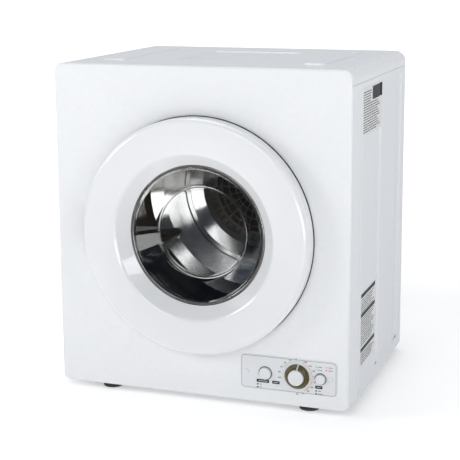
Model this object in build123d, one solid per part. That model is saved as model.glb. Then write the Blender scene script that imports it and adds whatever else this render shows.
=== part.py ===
"""Compact front-loading vented clothes dryer, as the separate pieces it is assembled from.

Axes: +X is the user's right when facing the door, +Y points to the back and +Z points up.
The origin is on the floor under the middle of the dryer's bounding box.
Lengths are in millimetres.
"""

import math
import os

from build123d import *

# Cabinet
WIDTH = 605.0
BODY_HEIGHT = 654.0
DEPTH = 468.0
FOOT_HEIGHT = 18.0
SHEET = 1.0
CORNER_RADIUS = 14.0
FRONT_FLANGE = 69.0
LID_SKIRT = 30.0
LID_RADIUS = 22.0
LID_PADS = ((-240.0, -190.0), (180.0, 230.0))
LID_PAD_LINES = (85.0, 385.0)
LID_PAD_HEIGHT = 2.5
LID_FIELD = (-95.0, 101.0)
LID_FIELD_LINES = (123.0, 360.0)
LID_FIELD_SINK = 2.0
GROOVE_SINK = 2.0
GROOVE_LINES = (
    (76.0, 77.0, 79.5, 83.0),
    (215.0, 233.0, 237.0, 241.0),
    (376.0, 424.0, 429.0, 434.0),
)
PAN_HEIGHT = 22.0
PAN_WALL = 1.2
DOOR_PROUD = 40.0
PORT_LENGTH = 30.0

# Reference planes and lines worked out from the cabinet
FRONT = -(DEPTH + PORT_LENGTH - DOOR_PROUD) / 2
REAR = FRONT + DEPTH
FLOOR = FOOT_HEIGHT
TOP = FLOOR + BODY_HEIGHT
DOOR_Z = FLOOR + BODY_HEIGHT / 2
HALF = WIDTH / 2

# Door and its opening
DOOR_RADIUS = 232.0
DOOR_GAP = 4.0
DOOR_WALL = 2.6
WINDOW_RADIUS = 136.0
OPENING_RADIUS = 165.0
DOOR_SWING_X = -221.0
DOOR_SWING_Y = FRONT - 22.0
HINGE_PIN_RADIUS = 2.5
LATCH_X = 193.0
BOWL_MOUTH_RADIUS = 134.5
BOWL_FLAT_RADIUS = 93.5
BOWL_BOTTOM_Y = FRONT + 25.0

# Drum, its shaft and the lint filter
DRUM_Z = DOOR_Z + 24.0
DRUM_RADIUS = 240.0
DRUM_WALL = 1.0
DRUM_FRONT = FRONT + 48.0
DRUM_REAR = FRONT + 322.0
DRUM_LIP_RADIUS = 208.0
DRUM_BEADS = (DRUM_FRONT + 92.0, DRUM_FRONT + 182.0)
BULKHEAD_Y = FRONT + 40.0
BULKHEAD_COLLAR = 204.2
HUB_Y = FRONT + 376.0
HUB_PLATE_RADIUS = 133.0
HUB_HOLE_RADIUS = 104.0
HUB_SLOTS = 45
HUB_SLOT_CIRCLE = 112.0
SPIDER_RADIUS = 126.0
SHAFT_RADIUS = 8.0
RUNNING_GAP = 0.05
FILTER_RADIUS = 103.0
FILTER_RINGS = (22.0, 38.0, 54.0, 70.0, 86.0)
FILTER_BARS = 24
BAFFLE_COUNT = 3
BAFFLE_HEIGHT = 46.0
BAFFLE_HALF_FOOT = 27.0

# Motor, idler, belts and fan
MOTOR_X = 215.0
MOTOR_Z = FLOOR + 75.0
MOTOR_RADIUS = 52.0
MOTOR_FRONT = FRONT + 292.0
MOTOR_REAR = FRONT + 408.0
MOTOR_BOSS_RADIUS = 18.0
STATOR_RADIUS = 32.0
MOTOR_SHAFT_RADIUS = 6.0
DRUM_PULLEY_RADIUS = 9.0
IDLER_X = 258.0
IDLER_Z = FLOOR + 140.0
IDLER_RADIUS = 18.0
IDLER_PIVOT_X = 262.0
IDLER_PIVOT_Z = FLOOR + 62.0
IDLER_PIVOT_RADIUS = 4.0
IDLER_AXLE_RADIUS = 3.0
IDLER_PLATE_Y = FRONT + 244.0
IDLER_ARM_Y = FRONT + 250.0
IDLER_WHEEL_Y = FRONT + 262.0
DRUM_BELT_Y = FRONT + 270.0
FAN_BELT_Y = FRONT + 455.0
MOTOR_FAN_PULLEY = 30.0
FAN_PULLEY = 36.0
FAN_RADIUS = 110.0
FAN_INLET_RADIUS = 75.0
FAN_BACK_Y = FRONT + 436.0
FAN_BLADES = 20
BELT_GAP = 0.4

# Air path behind the drum
DUCT_Y = FRONT + 395.0
DUCT_RADIUS = 215.0
HOUSING_FRONT = FRONT + 397.0
HOUSING_REAR = FRONT + 447.0
SCROLL_RADIUS = 128.0
HEATER_HALF_WIDTH = 66.0
HEATER_LOW = DRUM_Z + 146.0
HEATER_HIGH = DRUM_Z + 262.0
HEATER_CORE_Y = FRONT + 415.0
LOUVRE_COUNT = 9
LOUVRE_PITCH = 12.0

# Exhaust port
PORT_X = -95.0
PORT_Z = FLOOR + 85.0
PORT_RADIUS = 50.0
PORT_WALL = 1.2

# Mains lead inlet
GLAND_X = 215.0
GLAND_Z = FLOOR + 95.0
GLAND_BORE = 4.0

# Controls
PLATE_WIDTH = 193.4
PLATE_HEIGHT = 68.5
PLATE_X = 182.5
PLATE_Z = FLOOR + 62.0
PLATE_THICKNESS = 1.2
CAP_XS = (97.5, 267.0)
START_X = 136.0
START_RADIUS = 12.0
HEAT_X = 247.0
HEAT_RADIUS = 10.0
KNOB_X = 200.0
KNOB_RADIUS = 25.0
KNOB_FACE_RADIUS = 18.5
KNOB_FACE_Y = FRONT - 9.6
CROWN_RADIUS = 15.6
CROWN_Y = FRONT - 13.4
SPINDLE_RADIUS = 3.0
BUSHING_HOLE = 6.0
CAP_RADIUS = 5.0
CONTROL_Z = FLOOR + 61.0
BUTTON_CLEARANCE = 0.6

# Feet
FOOT_RADIUS = 21.0
FOOT_X = 212.0
FOOT_INSET = 48.0
FOOT_SCREW_HOLE = 3.2


# ---------------------------------------------------------------- shared shapes


def block(x0, x1, y0, y1, z0, z1):
    """Box between two corners."""
    box = Box(x1 - x0, y1 - y0, z1 - z0)
    return Pos((x0 + x1) / 2, (y0 + y1) / 2, (z0 + z1) / 2) * box


def rod_y(radius, y0, y1, x=0.0, z=DOOR_Z):
    """Round bar along Y."""
    return Pos(x, (y0 + y1) / 2, z) * Rot(90, 0, 0) * Cylinder(radius, y1 - y0)


def tube_y(outer, inner, y0, y1, x=0.0, z=DOOR_Z):
    """Round tube along Y."""
    return rod_y(outer, y0, y1, x, z) - rod_y(inner, y0 - 1, y1 + 1, x, z)


def rod_z(radius, z0, z1, x, y):
    """Round bar along Z."""
    return Pos(x, y, (z0 + z1) / 2) * Cylinder(radius, z1 - z0)


def slab_y(sketch, y0, y1):
    """Flat outline drawn in X and Z, given a thickness along Y."""
    return extrude(Plane.XZ.offset(-y1) * sketch, amount=y1 - y0)


def turned(outline, x=0.0, z=DOOR_Z):
    """Solid of revolution about a line along Y. The outline holds (radius, y) lines."""
    face = Pos(x, 0, z) * make_face(outline.edges())
    return revolve(face, axis=Axis((x, 0, z), (0, 1, 0)))


def drum_rod(radius, y0, y1):
    """Round bar along the drum's axis."""
    return rod_y(radius, y0, y1, 0.0, DRUM_Z)


def drum_tube(outer, inner, y0, y1):
    """Round tube along the drum's axis."""
    return tube_y(outer, inner, y0, y1, 0.0, DRUM_Z)


def around(count, radius, start=0.0, centre_z=DRUM_Z):
    """Evenly spaced (x, z, angle) places on a circle, round the drum's axis unless told otherwise."""
    places = []
    for step in range(count):
        angle = start + 360.0 * step / count
        x = radius * math.cos(math.radians(angle))
        z = centre_z + radius * math.sin(math.radians(angle))
        places.append((x, z, angle))
    return places


def screw_y(x, y, z, head_radius=4.0, head=2.0, length=9.0):
    """Pan-head screw whose head faces +Y and whose shank goes towards -Y."""
    return rod_y(head_radius, y, y + head, x, z) + rod_y(head_radius * 0.45, y - length, y, x, z)


def single(shape):
    """The shape as plain solids with no leftover seams."""
    solids = shape.clean().solids()
    return solids[0] if len(solids) == 1 else Compound(children=list(solids))


# ---------------------------------------------------------------- cabinet


def front_panel():
    """Deep-drawn steel front with side flanges, the door throat and the holes for the controls."""
    outer = block(-HALF, HALF, FRONT, FRONT + FRONT_FLANGE, FLOOR, TOP)
    outer = fillet(outer.edges().filter_by(Axis.Y), CORNER_RADIUS)
    outer = fillet(outer.faces().sort_by(Axis.Y)[0].edges(), 4.0)
    inner = block(-HALF + SHEET, HALF - SHEET, FRONT + SHEET, REAR, FLOOR + SHEET, TOP - SHEET)
    inner = fillet(inner.edges().filter_by(Axis.Y), CORNER_RADIUS - SHEET)
    inner = fillet(inner.faces().sort_by(Axis.Y)[0].edges(), 3.0)
    panel = outer - inner
    lid_room = TOP - LID_SKIRT - 0.5
    panel -= block(-HALF - 1, HALF + 1, FRONT + 1.6, REAR, lid_room, TOP + 1)
    panel -= block(-HALF - 1, HALF + 1, FRONT + 25, REAR, FLOOR - 1, FLOOR + CORNER_RADIUS + 1)
    panel -= rod_y(OPENING_RADIUS, FRONT - 1, FRONT + 5)
    panel += tube_y(OPENING_RADIUS + SHEET, OPENING_RADIUS, FRONT + 0.4, FRONT + 16)
    panel -= rod_y(START_RADIUS + BUTTON_CLEARANCE, FRONT - 1, FRONT + 3, START_X, CONTROL_Z)
    panel -= rod_y(HEAT_RADIUS + BUTTON_CLEARANCE, FRONT - 1, FRONT + 3, HEAT_X, CONTROL_Z)
    panel -= rod_y(BUSHING_HOLE, FRONT - 1, FRONT + 3, KNOB_X, CONTROL_Z)
    panel -= block(LATCH_X - 6, LATCH_X + 9, FRONT - 1, FRONT + 3, DOOR_Z - 12, DOOR_Z + 12)
    for x in CAP_XS:
        panel -= rod_y(2.2, FRONT - 1, FRONT + 3, x, CONTROL_Z)
    return panel


def tapered_field(x0, x1, y0, y1, low, high, low_inset, high_inset):
    """Rounded rectangular frustum between the heights low and high of the lid."""
    width = x1 - x0
    length = y1 - y0
    corner = 12.0
    lower = RectangleRounded(width - 2 * low_inset, length - 2 * low_inset, corner - low_inset)
    upper = RectangleRounded(width - 2 * high_inset, length - 2 * high_inset, corner - high_inset)
    middle = Pos((x0 + x1) / 2, (y0 + y1) / 2)
    return middle * loft([Pos(0, 0, low) * lower, Pos(0, 0, high) * upper])


def top_cover():
    """Steel lid with rounded long edges, two raised pads and a sunk middle field."""
    outer = block(-HALF, HALF, FRONT + 2, REAR, TOP - LID_SKIRT, TOP)
    long_top = outer.edges().filter_by(Axis.Y).group_by(Axis.Z)[-1]
    outer = fillet(long_top, LID_RADIUS)
    inner = block(-HALF + SHEET, HALF - SHEET, FRONT + 3, REAR - SHEET, TOP - LID_SKIRT - 5, TOP - SHEET)
    long_top = inner.edges().filter_by(Axis.Y).group_by(Axis.Z)[-1]
    inner = fillet(long_top, LID_RADIUS - SHEET)
    lid = outer - inner
    lid -= block(-HALF + 25, HALF - 25, FRONT, FRONT + 4, TOP - LID_SKIRT - 1, TOP - 14)
    y0, y1 = [FRONT + line for line in LID_PAD_LINES]
    for x0, x1 in LID_PADS:
        pad = tapered_field(x0, x1, y0, y1, TOP, TOP + LID_PAD_HEIGHT, 0, 3)
        lid += pad
        lid -= Pos(0, 0, -SHEET - 0.01) * pad
    x0, x1 = LID_FIELD
    y0, y1 = [FRONT + line for line in LID_FIELD_LINES]
    field = tapered_field(x0, x1, y0, y1, TOP - LID_FIELD_SINK, TOP + 0.01, 3, 0)
    lid += Pos(0, 0, -SHEET) * field
    lid -= field
    return lid


def side_panel(side):
    """Steel side with three vertical pressed grooves. side is -1 for left and 1 for right."""
    y0 = FRONT + FRONT_FLANGE + 0.6
    top = TOP - LID_SKIRT - 0.5
    panel = block(HALF - SHEET, HALF, y0, REAR, FLOOR, top)
    tongue_x = HALF - 2.2
    tongue = block(tongue_x - SHEET, tongue_x, y0 - 20, y0 + 3, FLOOR + 24, top - 12)
    joggle = block(tongue_x - SHEET, HALF - 0.5, y0 + 2, y0 + 3, FLOOR + 24, top - 12)
    panel += tongue + joggle
    for ramp_start, floor_start, floor_end, rise_end in GROOVE_LINES:
        outline = Polyline(
            (HALF + 0.01, FRONT + ramp_start),
            (HALF - GROOVE_SINK, FRONT + floor_start),
            (HALF - GROOVE_SINK, FRONT + floor_end),
            (HALF + 0.01, FRONT + rise_end),
            close=True,
        )
        groove = Pos(0, 0, FLOOR + 25) * extrude(make_face(outline), amount=top - FLOOR - 37)
        panel += Pos(-SHEET, 0, 0) * groove
        panel -= groove
    if side < 0:
        panel = mirror(panel, about=Plane.YZ)
    return panel


def base_pan():
    """Folded steel tray that everything inside stands on."""
    wall = PAN_WALL
    x = HALF - SHEET - 0.5
    y0 = FRONT + 25.5
    y1 = REAR - SHEET - 0.5
    pan = block(-x, x, y0, y1, FLOOR, FLOOR + PAN_HEIGHT)
    pan -= block(-x + wall, x - wall, y0 + wall, y1 - wall, FLOOR + wall, FLOOR + PAN_HEIGHT + 1)
    for x_foot, y_foot in foot_places():
        pan -= rod_z(FOOT_SCREW_HOLE, FLOOR - 1, FLOOR + 3, x_foot, y_foot)
    for y_bead in (FRONT + 110, FRONT + 170, FRONT + 230):
        pan -= block(-180, 60, y_bead - 6, y_bead + 6, FLOOR - 1, FLOOR + 0.5)
    return pan


def foot_places():
    """Centres of the four feet, as (x, y)."""
    front_y = FRONT + FOOT_INSET
    rear_y = REAR - FOOT_INSET
    return [(-FOOT_X, front_y), (FOOT_X, front_y), (-FOOT_X, rear_y), (FOOT_X, rear_y)]


def foot(index):
    """Rubber foot with a countersunk screw hole."""
    x, y = foot_places()[index]
    body = Pos(x, y, FOOT_HEIGHT / 2) * Cone(FOOT_RADIUS, FOOT_RADIUS - 2.5, FOOT_HEIGHT)
    body = fillet(body.edges().sort_by(Axis.Z)[0], 1.5)
    body -= rod_z(5.5, -1, 9, x, y)
    body -= rod_z(FOOT_SCREW_HOLE, 8, FOOT_HEIGHT + 1, x, y)
    return body


def rear_panel():
    """Steel back with the air inlet louvres, the exhaust hole and the cord inlet."""
    x = HALF - SHEET - 0.5
    panel = block(-x, x, REAR - SHEET, REAR, FLOOR + 0.5, TOP - LID_SKIRT - 1)
    panel -= rod_y(PORT_RADIUS - PORT_WALL, REAR - 3, REAR + 1, PORT_X, PORT_Z)
    panel -= rod_y(7.2, REAR - 3, REAR + 1, GLAND_X, GLAND_Z)
    for row in range(LOUVRE_COUNT):
        z = HEATER_LOW + 11 + LOUVRE_PITCH * row
        slot = SlotOverall(120.0, 6.0)
        panel -= slab_y(Pos(0, z) * slot, REAR - 3, REAR + 1)
    for x_screw, z_screw in rear_screw_places():
        panel -= rod_y(2.0, REAR - 3, REAR + 1, x_screw, z_screw)
    return panel


def rear_screw_places():
    """Screw centres round the edge of the back, as (x, z)."""
    places = []
    for z in (FLOOR + 40, FLOOR + 220, FLOOR + 400, FLOOR + 580):
        places.append((-HALF + 14, z))
        places.append((HALF - 14, z))
    return places


def exhaust_collar():
    """Four-inch duct collar with a screwed flange."""
    collar = tube_y(PORT_RADIUS, PORT_RADIUS - PORT_WALL, REAR, REAR + PORT_LENGTH, PORT_X, PORT_Z)
    flange = tube_y(PORT_RADIUS + 12, PORT_RADIUS - PORT_WALL, REAR, REAR + 1.5, PORT_X, PORT_Z)
    return collar + flange


def case_screws():
    """Screws of the back, of the exhaust flange, of the lid and of the feet."""
    screws = [screw_y(x, REAR, z) for x, z in rear_screw_places()]
    for angle in (45, 135, 225, 315):
        x = PORT_X + 56 * math.cos(math.radians(angle))
        z = PORT_Z + 56 * math.sin(math.radians(angle))
        screws.append(rod_y(3.0, REAR + 1.5, REAR + 3.5, x, z))
    for x in (-200.0, 0.0, 200.0):
        screws.append(rod_y(4.0, REAR, REAR + 2, x, TOP - 15))
    for x, y in foot_places():
        screws.append(rod_z(4.8, 5.5, 8.0, x, y) + rod_z(2.8, 8, FLOOR + 12, x, y))
    return Compound(children=screws)


def cord_gland():
    """Plastic inlet bushing for the mains lead."""
    flange = rod_y(14.0, REAR, REAR + 3, GLAND_X, GLAND_Z)
    nose = slab_y(Pos(GLAND_X, GLAND_Z) * RegularPolygon(10.5, 6), REAR + 3, REAR + 14)
    neck = rod_y(7.0, REAR - 6, REAR, GLAND_X, GLAND_Z)
    return flange + nose + neck - rod_y(GLAND_BORE, REAR - 10, REAR + 20, GLAND_X, GLAND_Z)


# ---------------------------------------------------------------- drum and its supports


def front_bulkhead():
    """Steel ring behind the front that lines the throat and carries the drum's mouth."""
    y = BULKHEAD_Y
    throat_radius = OPENING_RADIUS + 3
    ring = drum_rod(222.0, y, y + 1.2) - rod_y(throat_radius, y - 1, y + 3)
    throat = tube_y(throat_radius + 1.2, throat_radius, FRONT + 18, y + 0.5)
    collar = drum_tube(BULKHEAD_COLLAR, BULKHEAD_COLLAR - 1.2, y + 0.5, y + 22)
    arms = block(-HALF + 4, HALF - 4, y, y + 1.2, DRUM_Z + 110, DRUM_Z + 150)
    arms += block(-HALF + 4, HALF - 4, y, y + 1.2, DRUM_Z - 150, DRUM_Z - 110)
    arms -= drum_rod(220.0, y - 1, y + 3)
    return ring + throat + collar + arms


def front_felt_seal():
    """Felt strip glued round the bulkhead's collar, inside the drum's mouth."""
    return drum_tube(DRUM_LIP_RADIUS - 0.5, BULKHEAD_COLLAR + 0.2, DRUM_FRONT + 1, DRUM_FRONT + 13)


def drum_shell():
    """Rolled stainless drum wall with a turned-in mouth and two stiffening beads."""
    outer = DRUM_RADIUS
    inner = outer - DRUM_WALL
    shell = drum_tube(outer, inner, DRUM_FRONT, DRUM_REAR)
    shell += drum_tube(outer, DRUM_LIP_RADIUS, DRUM_FRONT, DRUM_FRONT + DRUM_WALL)
    shell += drum_tube(DRUM_LIP_RADIUS + DRUM_WALL, DRUM_LIP_RADIUS, DRUM_FRONT, DRUM_FRONT + 14)
    for y in DRUM_BEADS:
        bead = Polyline(
            (inner - 2.5, y - 3),
            (inner - 2.5, y + 3),
            (inner + 0.3, y + 7),
            (inner + 0.3, y - 7),
            close=True,
        )
        shell += turned(bead, 0.0, DRUM_Z)
    return shell


def drum_back():
    """Spun steel cone that closes the drum, with a rolled groove half way in."""
    line = [
        (DRUM_RADIUS, DRUM_REAR),
        (213.0, DRUM_REAR + 17),
        (168.5, DRUM_REAR + 33),
        (166.5, DRUM_REAR + 37),
        (158.5, DRUM_REAR + 40),
        (156.5, DRUM_REAR + 37.5),
        (131.0, DRUM_REAR + 50),
        (131.0, HUB_Y - 0.2),
    ]
    sheet = 1.2
    inside = [(radius, y) for radius, y in line]
    outside = [(radius + sheet * 0.4, y + sheet) for radius, y in line[:-1]]
    outside[0] = (DRUM_RADIUS, DRUM_REAR + sheet)
    outside.append((131.0 + sheet, HUB_Y - 0.2))
    return turned(Polyline(*inside, *reversed(outside), close=True), 0.0, DRUM_Z)


def drum_hub():
    """Cast plate with a ring of air slots, and a spider behind it that runs on the shaft."""
    hub = drum_tube(HUB_PLATE_RADIUS, HUB_HOLE_RADIUS, HUB_Y, HUB_Y + 3)
    slots = Sketch()
    for x, z, angle in around(HUB_SLOTS, HUB_SLOT_CIRCLE):
        slots += Pos(x, z) * Rot(0, 0, angle) * Rectangle(13.0, 10.0)
    hub -= slab_y(slots, HUB_Y - 1, HUB_Y + 4)
    hub += drum_tube(131.0, 124.0, HUB_Y + 2, HUB_Y + 10)
    for angle in (0, 90, 180, 270):
        spoke = Rot(0, 0, angle) * Pos((SPIDER_RADIUS + 14) / 2, 0) * Rectangle(SPIDER_RADIUS - 14, 12.0)
        hub += slab_y(Pos(0, DRUM_Z) * spoke, HUB_Y + 5, HUB_Y + 10)
    hub += drum_rod(20.0, HUB_Y + 5, HUB_Y + 18)
    return hub - drum_rod(SHAFT_RADIUS + RUNNING_GAP, HUB_Y, HUB_Y + 20)


def drum_baffle(index):
    """Moulded lifter that runs along the inside of the drum wall."""
    foot_radius = DRUM_RADIUS - DRUM_WALL - 0.3
    half_foot = BAFFLE_HALF_FOOT
    half_crest = 9.0
    crest = foot_radius - BAFFLE_HEIGHT
    side_radius = math.sqrt(foot_radius**2 - half_foot**2)
    outline = Polyline((side_radius, -half_foot), (crest + 6, -half_crest), (crest, -half_crest + 5))
    outline += Line((crest, -half_crest + 5), (crest, half_crest - 5))
    outline += Polyline((crest, half_crest - 5), (crest + 6, half_crest), (side_radius, half_foot))
    outline += ThreePointArc((side_radius, half_foot), (foot_radius, 0), (side_radius, -half_foot))
    turn = 90.0 + 360.0 * index / BAFFLE_COUNT
    face = Pos(0, DRUM_Z) * Rot(0, 0, turn) * make_face(outline.edges())
    bar = slab_y(face, DRUM_FRONT + 18, DRUM_REAR - 4)
    for y in DRUM_BEADS:
        bar -= drum_tube(DRUM_RADIUS, DRUM_RADIUS - 4.0, y - 8, y + 8)
    return bar


def drum_shaft():
    """Fixed steel shaft with its flange on the cabinet back."""
    shaft = drum_rod(SHAFT_RADIUS, HUB_Y + 5.5, REAR - SHEET)
    return shaft + drum_rod(40.0, REAR - SHEET - 4.5, REAR - SHEET)


def filter_grille():
    """Round moulded grille that clips into the hub plate over the lint screen."""
    inner = FILTER_RADIUS - 5
    net = Sketch()
    for radius in FILTER_RINGS:
        net += Circle(radius + 0.9) - Circle(radius - 0.9)
    for step in range(FILTER_BARS):
        net += Rot(0, 0, 360.0 / FILTER_BARS * step) * Pos(61.0, 0) * Rectangle(80.0, 1.6)
    grille = drum_tube(FILTER_RADIUS, inner, HUB_Y - 3, HUB_Y + 4.5)
    return grille + slab_y(Pos(0, DRUM_Z) * net, HUB_Y - 2, HUB_Y + 1.5)


def filter_mesh():
    """Lint screen cloth stretched behind the grille."""
    return drum_rod(FILTER_RADIUS - 5, HUB_Y + 2.5, HUB_Y + 3.3)


# ---------------------------------------------------------------- air path


def rear_duct():
    """Ring-shaped air duct behind the drum that feeds the hub's slots with warm air."""
    y = DUCT_Y
    duct = drum_tube(DUCT_RADIUS, FAN_INLET_RADIUS, y, y + 1.4)
    duct += drum_tube(DUCT_RADIUS, DUCT_RADIUS - 1.2, DRUM_REAR + 20.5, y + 0.5)
    duct += drum_tube(106.0, 104.8, HUB_Y + 11, y + 0.5)
    duct -= block(-55, 55, y - 1, y + 3, HEATER_LOW + 4, HEATER_LOW + 54)
    return duct


def housing_outline(grow):
    """Outline of the fan scroll with its outlet leg, made larger or smaller by grow."""
    scroll = Pos(0, DRUM_Z) * Circle(SCROLL_RADIUS + grow)
    leg_low = FLOOR + 26 - grow
    leg = Pos(PORT_X, (leg_low + DRUM_Z) / 2) * Rectangle(110.0 + 2 * grow, DRUM_Z - leg_low)
    return scroll + leg


def fan_housing():
    """Moulded fan scroll whose outlet leg drops to the exhaust port."""
    y0 = HOUSING_FRONT
    y1 = HOUSING_REAR
    housing = slab_y(housing_outline(0.0), y0, y1)
    housing -= slab_y(housing_outline(-2.0), y0 + 2, y1 - 2)
    housing -= drum_rod(FAN_INLET_RADIUS, y0 - 1, y0 + 3)
    housing -= drum_rod(24.0, y1 - 3, y1 + 1)
    housing += tube_y(PORT_RADIUS, PORT_RADIUS - 2, y1 - 1, REAR - SHEET - 0.3, PORT_X, PORT_Z)
    housing -= rod_y(PORT_RADIUS - 2, y1 - 4, y1 + 2, PORT_X, PORT_Z)
    return housing


def heater_box():
    """Sheet-metal box that guides air from the back louvres over the heater."""
    x = HEATER_HALF_WIDTH
    y0 = DUCT_Y + 1.8
    y1 = REAR - SHEET - 0.4
    box = block(-x, x, y0, y1, HEATER_LOW, HEATER_HIGH)
    box -= block(-x + 1, x - 1, y0 + 1, y1 + 1, HEATER_LOW + 1, HEATER_HIGH - 1)
    box -= block(-55, 55, y0 - 1, y0 + 2, HEATER_LOW + 4, HEATER_LOW + 54)
    return box


def heater_element():
    """Ceramic heater block with a row of fins and two end plates."""
    y0 = HEATER_CORE_Y
    y1 = y0 + 24
    heater = block(-60, -56, y0, y1, HEATER_LOW + 6, HEATER_HIGH - 6)
    heater += block(56, 60, y0, y1, HEATER_LOW + 6, HEATER_HIGH - 6)
    for row in range(5):
        z = HEATER_LOW + 14 + 22 * row
        heater += block(-57, 57, y0 + 2, y1 - 2, z - 3, z + 3)
    return heater


def thermostats():
    """Two disc thermostats, one on the heater box and one on the fan scroll."""
    x = HEATER_HALF_WIDTH + 0.2
    y = HEATER_CORE_Y + 9
    z = HEATER_LOW + 54
    upper = rod_y(8.0, y - 4, y + 4, x + 13.8, z) + block(x, x + 10, y - 6, y + 6, z - 8, z + 8)
    x = PORT_X + 45
    y = HOUSING_REAR + 0.4
    z = DRUM_Z - 174
    lower = rod_y(8.0, y, y + 8, x, z) + block(x, x + 20, y + 0.6, y + 4.6, z - 6, z + 6)
    return Compound(children=[upper, lower])


def fan_wheel():
    """Moulded blower wheel with its belt pulley, turning on the fixed shaft."""
    wheel = drum_rod(FAN_RADIUS, FAN_BACK_Y, FAN_BACK_Y + 2.5)
    wheel += drum_tube(FAN_RADIUS, FAN_RADIUS - 36, HOUSING_FRONT + 5, HOUSING_FRONT + 7.5)
    blades = Sketch()
    for x, z, angle in around(FAN_BLADES, FAN_RADIUS - 19):
        blades += Pos(x, z) * Rot(0, 0, angle + 35) * Rectangle(34.0, 2.0)
    wheel += slab_y(blades, HOUSING_FRONT + 6, FAN_BACK_Y + 1)
    wheel += drum_rod(14.0, HOUSING_FRONT + 8, FAN_BELT_Y + 4)
    wheel += pulley(FAN_PULLEY, 2.0, FAN_BELT_Y, 4.0, 2.5, 0.0, DRUM_Z)
    return wheel - drum_rod(SHAFT_RADIUS + RUNNING_GAP, HOUSING_FRONT, REAR)


def pulley(radius, flange, y, half_width, groove_half, x, z):
    """Flat belt pulley with a flange on each side."""
    body = rod_y(radius, y - half_width, y + half_width, x, z)
    body += rod_y(radius + flange, y - half_width, y - groove_half, x, z)
    body += rod_y(radius + flange, y + groove_half, y + half_width, x, z)
    return body


# ---------------------------------------------------------------- drive


def motor_casing():
    """Motor shell with its stator ring and two bearing bosses."""
    y0 = MOTOR_FRONT
    y1 = MOTOR_REAR
    casing = rod_y(MOTOR_RADIUS, y0, y1, MOTOR_X, MOTOR_Z)
    casing += rod_y(MOTOR_BOSS_RADIUS, y0 - 8, y1 + 8, MOTOR_X, MOTOR_Z)
    casing -= rod_y(STATOR_RADIUS, y0 + 4, y1 - 4, MOTOR_X, MOTOR_Z)
    casing -= tube_y(48.0, 30.0, y0 + 4, y0 + 20, MOTOR_X, MOTOR_Z)
    casing -= tube_y(48.0, 30.0, y1 - 20, y1 - 4, MOTOR_X, MOTOR_Z)
    bore = MOTOR_SHAFT_RADIUS + RUNNING_GAP
    return casing - rod_y(bore, y0 - 20, y1 + 20, MOTOR_X, MOTOR_Z)


def motor_rotor():
    """Rotor core on its shaft, with the drum pulley in front and the fan pulley behind."""
    shaft = rod_y(MOTOR_SHAFT_RADIUS, DRUM_BELT_Y - 12, FAN_BELT_Y + 4, MOTOR_X, MOTOR_Z)
    core = rod_y(STATOR_RADIUS - 1, MOTOR_FRONT + 22, MOTOR_REAR - 22, MOTOR_X, MOTOR_Z)
    front = pulley(DRUM_PULLEY_RADIUS, 3.5, DRUM_BELT_Y, 8.0, 6.5, MOTOR_X, MOTOR_Z)
    back = pulley(MOTOR_FAN_PULLEY, 2.0, FAN_BELT_Y, 4.0, 2.5, MOTOR_X, MOTOR_Z)
    return shaft + core + front + back


def motor_bracket():
    """Folded cradle that holds the motor by its bosses and bolts to the base."""
    z0 = FLOOR + 1.4
    bracket = block(MOTOR_X - 50, MOTOR_X + 45, MOTOR_FRONT - 9, MOTOR_REAR + 8, z0, z0 + 2)
    for y in (MOTOR_FRONT - 7.5, MOTOR_REAR + 4.5):
        ear = block(MOTOR_X - 26, MOTOR_X + 26, y, y + 3, z0 + 1, MOTOR_Z)
        ear += rod_y(26.0, y, y + 3, MOTOR_X, MOTOR_Z)
        ear -= rod_y(MOTOR_BOSS_RADIUS + 0.2, y - 1, y + 4, MOTOR_X, MOTOR_Z)
        bracket += ear
    return bracket


def capacitor():
    """Motor run capacitor standing on the base beside the motor."""
    x = MOTOR_X - 95
    y = (MOTOR_FRONT + MOTOR_REAR) / 2
    can = rod_z(17.0, FLOOR + 1.4, FLOOR + 66, x, y)
    can = fillet(can.edges().sort_by(Axis.Z)[-1], 3.0)
    for dx in (-5, 5):
        can += block(x + dx - 0.4, x + dx + 0.4, y - 3, y + 3, FLOOR + 65, FLOOR + 74)
    return can


def idler_bracket():
    """Upright plate with the pivot pin of the idler arm."""
    y = IDLER_PLATE_Y
    x0 = IDLER_PIVOT_X - 22
    x1 = IDLER_PIVOT_X + 22
    plate = block(x0, x1, y, y + 3, FLOOR + 1.4, IDLER_PIVOT_Z + 12)
    foot_plate = block(x0, x1, y - 24, y + 1, FLOOR + 1.4, FLOOR + 3.4)
    pin = rod_y(IDLER_PIVOT_RADIUS, y + 2, y + 15, IDLER_PIVOT_X, IDLER_PIVOT_Z)
    return plate + foot_plate + pin


def idler_arm():
    """Sprung arm that carries the idler wheel against the drum belt."""
    y0 = IDLER_ARM_Y
    y1 = y0 + 5
    rise = IDLER_Z - IDLER_PIVOT_Z
    lean = math.degrees(math.atan2(rise, IDLER_X - IDLER_PIVOT_X))
    length = math.hypot(rise, IDLER_X - IDLER_PIVOT_X)
    middle = Pos((IDLER_X + IDLER_PIVOT_X) / 2, (IDLER_Z + IDLER_PIVOT_Z) / 2)
    arm = slab_y(middle * Rot(0, 0, lean) * SlotCenterToCenter(length, 20.0), y0, y1)
    arm += rod_y(10.0, y0 - 2, y1 + 4, IDLER_PIVOT_X, IDLER_PIVOT_Z)
    arm += rod_y(IDLER_AXLE_RADIUS, y1 - 1, IDLER_WHEEL_Y + 17, IDLER_X, IDLER_Z)
    bore = IDLER_PIVOT_RADIUS + RUNNING_GAP
    return arm - rod_y(bore, y0 - 5, y1 + 8, IDLER_PIVOT_X, IDLER_PIVOT_Z)


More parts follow.
